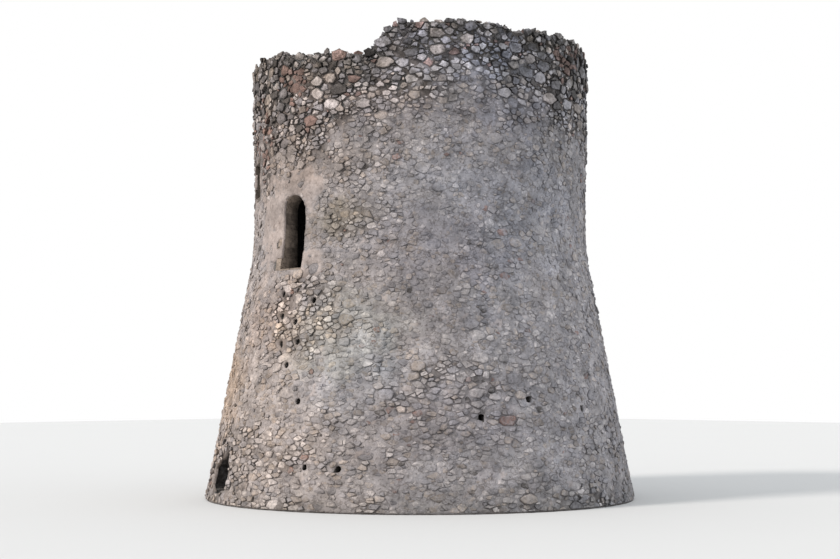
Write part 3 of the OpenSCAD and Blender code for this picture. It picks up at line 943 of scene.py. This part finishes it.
def weathered(tree, colour):
    """Broad tints, a warmer left side, partly weathering and partly painted sunlight, blotches,
    dark runs and lichen under the crown, and darker, greener patches towards the foot.
    """
    place = object_place(tree)
    waver = spread(tree, cloud(tree, 1.8, 5.0), 0.3, 0.7, -0.45, 0.45)
    for angle, z, reach, up, tint in BROAD_TINTS:
        centre = on_wall(angle, z)[0].tolist()
        away = vector_calc(tree, "MULTIPLY", vector_calc(tree, "SUBTRACT", place, centre),
                           (1 / reach, 1 / reach, 1 / up))
        far = calc(tree, "ADD", vector_calc(tree, "LENGTH", away), waver)
        colour = tint_by(tree, spread(tree, far, 1.1, 0.45), colour, tint)
    # Partly painted sunlight: the side towards the sun, left of the camera, is tinted warmer; the rest of the
    # warmth is weathering
    left = seen(80)
    sideways = vector_calc(tree, "DOT_PRODUCT", place, (math.cos(left), math.sin(left), 0))
    sunlit_and_weathered_warmth = calc(tree, "ADD", sideways, spread(tree, cloud(tree, 0.7, 4.0), 0.3, 0.7, -1.2, 1.2))
    sunlit_and_weathered_tint = mix(tree, spread(tree, sunlit_and_weathered_warmth, -1.6, 3.2), (0.99, 0.98, 1.015), (1.105, 1.0, 0.945))
    sunlit_and_weathered = tint_by(tree, 1.0, colour, sunlit_and_weathered_tint)
    broad = tint_by(tree, spread(tree, cloud(tree, 0.55, 3.0), 0.35, 0.7, 0.35, 0.0), sunlit_and_weathered, grey(0.62))
    patches = spread(tree, cloud(tree, 2.6, 7.0, roughness=0.65), 0.36, 0.64)
    patchy = tint_by(tree, 1.0, broad, mix(tree, patches, grey(0.74), grey(1.24)))
    blotches = spread(tree, cloud(tree, 8.0, 8.0, roughness=0.75), 0.54, 0.62, 0, 0.55)
    blotched = tint_by(tree, blotches, patchy, (0.40, 0.38, 0.37))
    z = height_at(tree, place)
    runs = spread(tree, cloud(tree, 1.6, 4.0, (1, 1, 0.18)), 0.52, 0.72)
    under = times(tree, runs, spread(tree, z, 5.2, 7.3))
    streaked = tint_by(tree, times(tree, under, 0.40), blotched, grey(0.5))
    lichen = times(tree, spread(tree, cloud(tree, 3.4, 6.0), 0.48, 0.56), spread(tree, z, 6.4, 7.6))
    grown = tint_by(tree, times(tree, lichen, 0.62), streaked, (0.38, 0.37, 0.34))
    foot = times(tree, spread(tree, z, 0.5, 0.05), spread(tree, cloud(tree, 2.2), 0.3, 0.6))
    return tint_by(tree, times(tree, foot, 0.4), grown, (0.55, 0.56, 0.50))


def stone_material(name, colours, shares, smear):
    """Rubble stone: each stone takes its colour by its tone, darkens towards its bed as painted shade,
    and carries patches of the mortar called smear."""
    mat, tree = new_material(name)
    tone = attribute(tree, "tone")
    picked = tree.nodes.new("ShaderNodeValToRGB")
    tree.links.new(tone, picked.inputs[0])
    stops = picked.color_ramp
    stops.interpolation = "CONSTANT"
    at = 0.0
    for k, (c, share) in enumerate(zip(colours, shares)):
        # A new ramp has two stops already
        stop = stops.elements[k] if k < 2 else stops.elements.new(at)
        stop.position = at
        stop.color = (*c, 1.0)
        at += share
    opened = spread(tree, attribute(tree, "rough"), 0.3, 0.9)
    own = spread(tree, calc(tree, "FRACT", times(tree, tone, TONE_SCRAMBLE)), 0.0, 1.0, 0.76,
                 spread(tree, opened, 0.0, 1.0, 1.20, 1.72))
    bright = add_node(tree, "ShaderNodeCombineXYZ", {0: own, 1: own, 2: own}).outputs[0]
    toned = tint_by(tree, 1.0, picked.outputs[0], bright)
    mottle = spread(tree, cloud(tree, 16, 7, roughness=0.65), 0.34, 0.66)
    mottled = tint_by(tree, 1.0, toned, mix(tree, mottle, grey(0.62), grey(1.30)))
    pointed = spread(tree, attribute(tree, "rough"), 0.2, 0.9, 1.0, 0.25)
    smeared = times(tree, spread(tree, cloud(tree, 11, 7, roughness=0.65), 0.47, 0.55), pointed)
    coated = mix(tree, times(tree, smeared, 0.75), mottled, smear)
    freckles = times(tree, spread(tree, cloud(tree, 26, 6, roughness=0.7), 0.55, 0.62),
                     spread(tree, opened, 0.0, 1.0, 0.5, 0.75))
    freckled = tint_by(tree, freckles, coated, grey(0.35))
    crust = times(tree, spread(tree, cloud(tree, 7, 7, roughness=0.7), 0.45, 0.53),
                  times(tree, attribute(tree, "grown"), 0.75))
    crusted = tint_by(tree, crust, freckled, (0.30, 0.29, 0.26))
    # Painted shade: a stone's sides darken towards its bed, more in the rough rubble
    side = times(tree, spread(tree, attribute(tree, "proud"), 0.0, 0.8, 1, 0),
                 spread(tree, attribute(tree, "rough"), 0.1, 0.9, 0.5, 1.0))
    shaded = tint_by(tree, side, crusted, grey(0.30))
    lumps = calc(tree, "ADD", cloud(tree, 22, 8, roughness=0.7), times(tree, cloud(tree, 80, 4), 0.5))
    return finish_material(mat, weathered(tree, shaded), lumps, 0.03, 0.9)


def earth(tree, colours):
    """Dark earthy mortar with some pale lime left in it."""
    tone = mix(tree, spread(tree, cloud(tree, 6, 5), 0.35, 0.65), colours.soil, scaled(colours.soil, 1.6))
    lime = spread(tree, cloud(tree, 4.5, 6, roughness=0.65), 0.52, 0.62, 0, 0.6)
    return mix(tree, lime, tone, scaled(colours.render, 0.85))


def render_material(colours):
    """Worn lime render, with its pebbles showing and earthy mortar in the deep joints."""
    mat, tree = new_material("lime_render")
    patches = mix(tree, spread(tree, cloud(tree, 1.1, 5), 0.35, 0.68), colours.render,
                  scaled(colours.render, 0.80))
    place = object_place(tree)
    grit = add_node(tree, "ShaderNodeTexVoronoi",
                    {"Vector": place, "Scale": 17.0, "Randomness": 1.0}).outputs["Distance"]
    pale = times(tree, spread(tree, grit, 0.34, 0.20), spread(tree, cloud(tree, 5.0), 0.43, 0.54))
    speckled = mix(tree, times(tree, pale, 0.6), patches, colours.pale)
    # Dark cracks and pits in the core's earth colour: partly earthy mortar, partly painted shade of holes and
    # cracks between the stones
    flatter = vector_calc(tree, "MULTIPLY", place, (1, 1, 1.5))
    bent = vector_calc(tree, "ADD", flatter, wandering(tree, 7.0, 0.10))
    cracks = add_node(tree, "ShaderNodeTexVoronoi", {"Vector": bent, "Scale": 7.5},
                      feature="DISTANCE_TO_EDGE").outputs["Distance"]
    earth_and_shade_cracks = times(tree, spread(tree, cracks, 0.09, 0.02), spread(tree, cloud(tree, 4.0, 5), 0.44, 0.56))
    pits = spread(tree, cloud(tree, 17, 5, roughness=0.65), 0.55, 0.61)
    # The dark of the pits and cracks is partly painted shade
    worn = calc(tree, "MAXIMUM", times(tree, pits, 0.60), times(tree, earth_and_shade_cracks, 0.65))
    pitted = mix(tree, worn, speckled, colours.soil)
    sound = spread(tree, attribute(tree, "plaster"), 0.25, 0.75)
    trowelled = mix(tree, spread(tree, cloud(tree, 14, 7, roughness=0.7), 0.36, 0.64), colours.smooth,
                    scaled(colours.smooth, 0.70))
    coated = mix(tree, times(tree, sound, 0.80), pitted, trowelled)
    deep = spread(tree, attribute(tree, "rough"), 0.35, 0.85)
    mixed = mix(tree, deep, coated, earth(tree, colours))
    lumps = calc(tree, "SUBTRACT", cloud(tree, 22, 6), times(tree, grit, 0.7))
    return finish_material(mat, weathered(tree, mixed), lumps, 0.02, 0.6)


def painted_inner_shade(tree, colour):
    """Paints shade: darkens to black what lies deep inside the wall under the terrace, the openings' reveals
    and the core inside, where shade falls.
    """
    place = object_place(tree)
    from_axis = vector_calc(tree, "LENGTH", vector_calc(tree, "MULTIPLY", place, (1, 1, 0)))
    wavering = calc(tree, "ADD", from_axis, spread(tree, cloud(tree, 7.0), 0.3, 0.7, -0.08, 0.08))
    # Painted shade: black towards the inside of the wall and under the terrace
    deep = times(tree, spread(tree, wavering, FOOT_R - 0.90, FOOT_R - 1.22),
                 spread(tree, height_at(tree, place), TERRACE_Z - 0.05, TERRACE_Z - 0.25))
    return mix(tree, times(tree, deep, 0.95), colour, grey(0.0))


def core_material(colours):
    """Earthy mortar of the wall's core, which shows only deep in the joints and holes, black there with
    painted shade.
    """
    mat, tree = new_material("core_mortar")
    lumps = cloud(tree, 9, 8, roughness=0.75)
    return finish_material(mat, painted_inner_shade(tree, earth(tree, colours)), lumps, 0.10, 1.0)


def dressed_material(name, colour):
    """Dressed soft stone, pitted and a little different from course to course, black with painted shade deep
    inside.
    """
    mat, tree = new_material(name)
    over_sill = calc(tree, "SUBTRACT", height_at(tree, object_place(tree)), DOOR_LOW)
    course = calc(tree, "FLOOR", calc(tree, "DIVIDE", over_sill, DRESSED_COURSE))
    drawn = add_node(tree, "ShaderNodeTexWhiteNoise", {"W": course}, noise_dimensions="1D").outputs["Value"]
    blocks = mix(tree, drawn, scaled(colour, 0.72), scaled(colour, 1.22))
    mottled = mix(tree, spread(tree, cloud(tree, 9, 7, roughness=0.65), 0.36, 0.64), blocks,
                  tint_by(tree, 1.0, blocks, grey(0.48)))
    pits = spread(tree, cloud(tree, 24, 6, roughness=0.65), 0.54, 0.62, 0, 0.75)
    pitted = tint_by(tree, pits, mottled, grey(0.40))
    lumps = calc(tree, "ADD", cloud(tree, 16, 6), times(tree, cloud(tree, 60, 3), -0.7))
    return finish_material(mat, painted_inner_shade(tree, pitted), lumps, 0.012, 0.7)


def plaster_material(colours):
    """Old limewash inside the chamber, patchy where it has come away."""
    mat, tree = new_material("inner_plaster")
    gone = spread(tree, cloud(tree, 1.7, 6), 0.50, 0.56)
    tone = mix(tree, gone, colours.plaster, colours.grey)
    stained = tint_by(tree, spread(tree, cloud(tree, 0.8, 3), 0.4, 0.7, 0, 0.5), tone, grey(0.6))
    lumps = calc(tree, "SUBTRACT", cloud(tree, 9, 6), times(tree, gone, 0.5))
    return finish_material(mat, stained, lumps, 0.03, 0.6)


def paving_material(colours):
    """Worn flags with earth in their joints."""
    mat, tree = new_material("stone_flags")
    place = vector_calc(tree, "ADD", object_place(tree), wandering(tree, 5.0, 0.06))
    pattern = {"Vector": place, "Scale": 2.6, "Randomness": 0.75}
    edges = add_node(tree, "ShaderNodeTexVoronoi", pattern, voronoi_dimensions="2D",
                     feature="DISTANCE_TO_EDGE").outputs["Distance"]
    each = add_node(tree, "ShaderNodeTexVoronoi", pattern, voronoi_dimensions="2D").outputs["Color"]
    tone = add_node(tree, "ShaderNodeSeparateColor", {0: each}).outputs[0]
    slab = mix(tree, tone, scaled(colours.paving, 0.8), scaled(colours.paving, 1.15))
    worn = mix(tree, spread(tree, cloud(tree, 8, 6), 0.3, 0.7), slab, tint_by(tree, 1.0, slab, grey(0.75)))
    joint = spread(tree, edges, 0.050, 0.015)
    lumps = calc(tree, "SUBTRACT", times(tree, cloud(tree, 20, 5), 0.4), joint)
    return finish_material(mat, mix(tree, joint, worn, colours.soil), lumps, 0.015, 0.7)


MATERIALS = {}


def material(name):
    """Makes the materials on first use."""
    if not MATERIALS:
        c = settings("colours")
        stones = (c.red, c.grey, c.pale, c.buff, c.dark)
        MATERIALS.update(
            wall_stone=stone_material("wall_stone", stones, (0.011, 0.31, 0.409, 0.258, 0.012), c.render),
            crown_stone=stone_material("crown_stone", stones, (0.05, 0.38, 0.32, 0.15, 0.10), c.soil),
            render=render_material(c),
            core=core_material(c),
            dressed=dressed_material("dressed_stone", c.dressed),
            # Painted shade: the window's dressed stones are made much darker for the shade in its reveal
            damp=dressed_material("damp_stone", scaled(c.dressed, 0.40)),
            plaster=plaster_material(c),
            paving=paving_material(c),
        )
    return MATERIALS[name]


# The steps of the finish

class TOWER_OT_finish_core(bpy.types.Operator):
    """Gives the tower's solids their masonry"""
    bl_idname = "tower.finish_core"
    bl_label = "Finish the solids"

    def execute(self, context):
        finish = {"rubble_wall": "core", "crown_rubble": "core", "rubble_fill": "core",
                  "dressed_stone": "dressed", "vault_plaster": "plaster", "paving": "paving"}
        for part in frame["record"]["subparts"]:
            mesh = frame["nodes"][part["node"]].data
            mesh.materials.clear()
            at_window = part["node"].startswith("window_")
            # The window's stones take the darkened stone, painted shade of the window's reveal
            mesh.materials.append(material("damp" if at_window else finish[part["material_slot"]]))
        return {"FINISHED"}


class TOWER_OT_lay_facing(bpy.types.Operator):
    """Lays the rubble stones of the outer face"""
    bl_idname = "tower.lay_facing"
    bl_label = "Lay the facing stones"

    def execute(self, context):
        s = settings("facing")
        rng = np.random.default_rng(s.seed)

        def opened_at(x, y):
            return ramp(y, rough_height(x / FLAT_R), rough_height(x / FLAT_R) + 0.8)

        classes = (
            (s.large, 1500, 0.3), (s.middling, 24000, 0.7), (s.small, 70000, 1.0), (s.chips, 60000, 0.6))
        laid = dart_throw(rng, classes, opened_at, s, TURN * FLAT_R, CAD_HIGH.z + SPARE_HEIGHT)
        places, radii = np.array(laid[0]), np.array(laid[1])
        angle, z = places[:, 0] * s.stretch / FLAT_R, places[:, 1]
        # The layout is flat at one radius, so stones are wider at the foot than at the drum
        far, across, up = distance_and_slope(bare_distance, angle, z)
        rough = roughness_at(angle, z)
        sunk = np.clip(0.25 + 0.75 * ramp(dressed_distance(angle, z), 0.02, 0.30), 0, 1)
        fallen = (rng.random(len(z)) < FALLEN_SHARE * rough) & (radii < s.middling)
        sunk = np.where(fallen, FALLEN_RELIEF * sunk, sunk)
        over = z > crown_height(angle) + 0.5 * radii
        lost = (plaster_at(angle, z) > HIDING_PLASTER) | over | (far < OPENING_GAP)
        rings, chosen = [], []
        for k, ring in enumerate(stone_outlines(rng, *laid)):
            if lost[k] or len(ring) < 3:
                continue
            if far[k] < STONE_REACH:
                ring = clipped(ring, (-across[k] * s.stretch, -up[k]), far[k] - EDGE_GAP)
            if z[k] < FOOT_REACH:
                ring = clipped(ring, (0.0, -1.0), z[k] - FOOT_GAP)
            if len(ring) < 3:
                continue
            ring = worn_corners(ring, rng) if radii[k] > WORN_R else np.array(ring)
            if len(ring) < 3 or area_of(ring) < LEAST_AREA:
                continue
            if rough[k] > JAGGED_FROM and radii[k] > JAGGED_R:
                ring = jagged(ring, rng)
            flat = ring + places[k]
            around, up_wall = flat[:, 0] * s.stretch / FLAT_R, np.maximum(flat[:, 1], 0.0)
            rings.append(on_wall(around, up_wall, -BED_DEPTH))
            chosen.append(k)
        chosen = np.array(chosen)
        redness = np.maximum.reduce([nearness(angle, z, *patch) for patch in RED_PATCHES])
        tone = np.where(rng.random(len(z)) < RED_SHARE * redness, RED_TONE, rng.random(len(z)))
        values = {"rough": rough, "tone": np.where(fallen, DARK_TONE, tone), "sunk": sunk,
                  "grown": near_crown(angle, z), "proud": np.zeros(len(z))}
        at_crown = z > rough_height(angle) + CROWN_OVER
        zone = np.where(at_crown, 2, np.where(z > DRUM_Z, 1, 0))[chosen]
        third = (angle[chosen] % TURN // (TURN / 3)).astype(int)
        for level, (word, stone, slot) in enumerate(ZONES):
            tree = stone_tree(material(stone))
            for q in range(3):
                picked = np.flatnonzero((zone == level) & (third == q))
                own = {key: each[chosen[picked]] for key, each in values.items()}
                name = f"{word}_facing_{q + 1}"
                bake(name, polygon_mesh(name, [rings[k] for k in picked], own), tree, s)
        return {"FINISHED"}


class TOWER_OT_line_parapet(bpy.types.Operator):
    """Lays the rubble stones of the parapet's inner face"""
    bl_idname = "tower.line_parapet"
    bl_label = "Line the parapet"

    def execute(self, context):
        s = settings("facing")
        rng = np.random.default_rng(s.seed + 1)
        classes = ((s.large, 500, 1), (s.middling, 4000, 1), (s.small, 5000, 1))
        laid = dart_throw(rng, classes, lambda x, y: np.ones(len(x)), s, TURN * TERRACE_R,
                          CAD_HIGH.z - TERRACE_Z)
        rings, tops = [], []
        for (x, y), ring in zip(laid[0], stone_outlines(rng, *laid)):
            angle = x * s.stretch / TERRACE_R
            ring = clipped(ring, (0.0, -1.0), y)
            if TERRACE_Z + y > crown_height(angle) - LINING_UNDER or len(ring) < 3:
                continue
            ring = worn_corners(ring, rng)
            if len(ring) < 3 or area_of(ring) < LEAST_AREA:
                continue
            flat = jagged(ring, rng)[::-1] + (x, y)
            around = flat[:, 0] * s.stretch / TERRACE_R
            r = TERRACE_R + BED_DEPTH
            rings.append(np.column_stack((r * np.cos(around), r * np.sin(around), TERRACE_Z + flat[:, 1])))
            tops.append(float(near_crown(angle, TERRACE_Z + y)))
        ones = np.ones(len(rings))
        values = {"rough": ones, "sunk": ones, "proud": 0 * ones, "grown": tops,
                  "tone": rng.random(len(rings))}
        mesh = polygon_mesh("parapet_lining", rings, values)
        bake("parapet_lining", mesh, stone_tree(material("crown_stone")), s)
        return {"FINISHED"}


class TOWER_OT_spread_render(bpy.types.Operator):
    """Spreads worn lime render between and over the facing stones"""
    bl_idname = "tower.spread_render"
    bl_label = "Spread the render"

    def execute(self, context):
        s = settings("render")
        columns = int(round(TURN * FLAT_R / s.step))
        rows = int(round(CAD_HIGH.z / s.step))
        angle = np.repeat(np.arange(columns) / columns * TURN, rows + 1)
        share = np.tile(np.arange(rows + 1) / rows, columns)
        z = share * (crown_height(angle) - RENDER_UNDER)
        # Corners near an opening move to its outline
        d, across, up = distance_and_slope(opening_distance, angle, z)
        near = np.abs(d) < 0.6 * s.step
        angle = np.where(near, angle - d * across / face_radius(z), angle)
        z = np.maximum(np.where(near, z - d * up, z), RENDER_FOOT)
        p = on_wall(angle, z)
        rough = roughness_at(angle, z)
        plaster = plaster_at(angle, z)
        lumps = waves(p, 0.42, 1) * 0.8 + waves(p, 0.10, 4) * 0.8
        full = s.cover * (1 + 0.5 * waves(p, 1.4, 6))
        out = full * (1 - ramp(rough, 0.3, 0.9)) + s.rough * lumps * (1 - 0.6 * plaster)
        out = np.maximum(out + plaster * PLASTER_OUT, RENDER_LEAST)
        edge = 0.25 + 0.75 * ramp(dressed_distance(angle, z), 0.0, 0.22)
        p = on_wall(angle, z, out * edge)
        inside = opening_distance(angle, z) < -0.5 * s.step
        index = np.arange(columns * (rows + 1)).reshape(columns, rows + 1)
        beside = np.roll(index, -1, axis=0)
        faces = np.stack((index[:, :-1], beside[:, :-1], beside[:, 1:], index[:, 1:]), axis=-1).reshape(-1, 4)
        first = angle[faces[:, 0]]
        turned = (angle[faces] - first[:, None] + math.pi) % TURN - math.pi
        middle_a, middle_z = first + turned.mean(1), z[faces].mean(1)
        kept = ~inside[faces].any(1) & (opening_distance(middle_a, middle_z) > 0)
        kept &= rough[faces].min(1) < BARE_FROM
        kept &= (dressed_distance(middle_a, middle_z) > 0) | (plaster[faces].min(1) > OVER_DRESSED)
        used, faces = np.unique(faces[kept], return_inverse=True)
        mesh = bpy.data.meshes.new("lime_render")
        mesh.from_pydata(p[used].tolist(), [], faces.reshape(-1, 4).tolist())
        set_values(mesh, {"rough": rough[used], "plaster": plaster[used]}, "POINT")
        mesh.polygons.foreach_set("use_smooth", [True] * len(mesh.polygons))
        mesh.materials.append(material("render"))
        piece = keep(new_object("lime_render", mesh))
        solid = piece.modifiers.new("Thickness", "SOLIDIFY")
        solid.thickness = s.shell
        solid.offset = -1.0
        solid.use_rim_only = True
        return {"FINISHED"}


class TOWER_OT_pile_crown(bpy.types.Operator):
    """Piles loose stones along the broken crown"""
    bl_idname = "tower.pile_crown"
    bl_label = "Pile the crown's loose stones"

    def execute(self, context):
        s = settings("crown")
        verts, faces = [], []
        for name, node in frame["nodes"].items():
            if not name.startswith("parapet_"):
                continue
            for face in node.data.polygons:
                if face.normal.z > LEVEL_ENOUGH and face.center.z > WALL_HEAD_Z + CROWN_LEAST:
                    faces.append(range(len(verts), len(verts) + len(face.vertices)))
                    for k in face.vertices:
                        place = node.data.vertices[k].co
                        r = math.hypot(place.x, place.y)
                        outermost = float(face_radius(place.z)) - LOOSE_EDGE
                        back = min(max(r, TERRACE_R + LOOSE_EDGE), outermost) / r
                        verts.append((place.x * back, place.y * back, place.z + LOOSE_LIFT))
        mesh = bpy.data.meshes.new("crown_loose_stones")
        mesh.from_pydata(verts, [], faces)
        rocks = rock_shapes(np.random.default_rng(s.seed))
        tree = loose_stone_tree(material("crown_stone"), rocks)
        bake("crown_loose_stones", mesh, tree, s)
        for rock in rocks:
            bpy.data.meshes.remove(rock.data)
        return {"FINISHED"}


class TOWER_OT_set_stage(bpy.types.Operator):
    """Sets the floor, the lights and the camera at the photograph's viewing angle"""
    bl_idname = "tower.set_stage"
    bl_label = "Set the stage"

    def execute(self, context):
        s = settings("stage")
        scene = context.scene
        scene.view_settings.view_transform = "Standard"
        self.floor(s)
        self.sky(scene, s)
        self.sun(s)
        camera = bpy.data.cameras.new("camera")
        camera.lens, camera.sensor_width = s.lens, 36.0
        camera.clip_end = 200
        eye = new_object("camera", camera)
        to_camera = Vector((math.cos(VIEW_ANGLE), math.sin(VIEW_ANGLE), 0))
        eye.location = to_camera * s.distance + Vector((0, 0, s.eye))
        eye.rotation_euler = (Vector((0, 0, s.aim)) - eye.location).to_track_quat("-Z", "Y").to_euler()
        scene.camera = eye
        return {"FINISHED"}

    def floor(self, s):
        mesh = bpy.data.meshes.new("floor")
        half = 60.0
        mesh.from_pydata([(-half, -half, 0), (half, -half, 0), (half, half, 0), (-half, half, 0)], [],
                         [(0, 1, 2, 3)])
        floor = new_object("floor", mesh)
        mat, tree = new_material("studio_floor")
        tone = mix(tree, cloud(tree, 0.3), scaled(s.floor, 0.985), s.floor)
        mesh.materials.append(finish_material(mat, tone))

    def sky(self, scene, s):
        """The sky's light, and plain white where the sky itself is seen or mirrored."""
        world = bpy.data.worlds.new("sky")
        world.use_nodes = True
        scene.world = world
        tree = world.node_tree
        light = tree.nodes["Background"]
        light.inputs["Color"].default_value = (*SKY_COLOUR, 1)
        light.inputs["Strength"].default_value = s.sky
        white = add_node(tree, "ShaderNodeBackground", {"Color": (1, 1, 1, 1), "Strength": 1.0})
        path = tree.nodes.new("ShaderNodeLightPath").outputs
        direct = calc(tree, "MAXIMUM", path["Is Camera Ray"],
                      calc(tree, "MAXIMUM", path["Is Glossy Ray"], path["Is Transmission Ray"]))
        both = add_node(tree, "ShaderNodeMixShader", {0: direct, 1: light.outputs[0], 2: white.outputs[0]})
        tree.links.new(both.outputs[0], tree.nodes["World Output"].inputs["Surface"])

    def sun(self, s):
        data = bpy.data.lights.new("sun", "SUN")
        data.energy, data.angle, data.color = s.sun, SUN_WIDTH, SUN_COLOUR
        side = VIEW_ANGLE - s.sun_left
        towards = Vector((math.cos(side) * math.cos(s.sun_up), math.sin(side) * math.cos(s.sun_up),
                          math.sin(s.sun_up)))
        new_object("sun", data).rotation_euler = towards.to_track_quat("Z", "Y").to_euler()


class TOWER_PT_panel(bpy.types.Panel):
    """Lists the steps of the tower's finish"""
    bl_idname = "TOWER_PT_panel"
    bl_label = "Watchtower"
    bl_space_type = "VIEW_3D"
    bl_region_type = "UI"
    bl_category = "Watchtower"

    def draw(self, context):
        for operator in OPERATORS:
            self.layout.operator(operator.bl_idname)
        for name in GROUPS:
            box = self.layout.box()
            box.label(text=name.capitalize())
            group = settings(name)
            for key in group.__annotations__:
                box.prop(group, key)


GROUPS = {"shape": WallShape, "facing": FacingSettings, "render": RenderSettings, "crown": CrownSettings,
          "colours": MasonryColours, "stage": StageSettings}
OPERATORS = (TOWER_OT_finish_core, TOWER_OT_lay_facing, TOWER_OT_line_parapet, TOWER_OT_spread_render,
             TOWER_OT_pile_crown, TOWER_OT_set_stage)


def register():
    for cls in (*GROUPS.values(), *OPERATORS, TOWER_PT_panel):
        bpy.utils.register_class(cls)
    for name, group in GROUPS.items():
        setattr(bpy.types.Scene, "tower_" + name, bpy.props.PointerProperty(type=group))


def unregister():
    for name in GROUPS:
        delattr(bpy.types.Scene, "tower_" + name)
    for cls in (TOWER_PT_panel, *reversed(OPERATORS), *reversed(tuple(GROUPS.values()))):
        bpy.utils.unregister_class(cls)


def main():
    register()
    for operator in OPERATORS:
        group, call = operator.bl_idname.split(".")
        getattr(getattr(bpy.ops, group), call)()


if __name__ == "__main__":
    main()
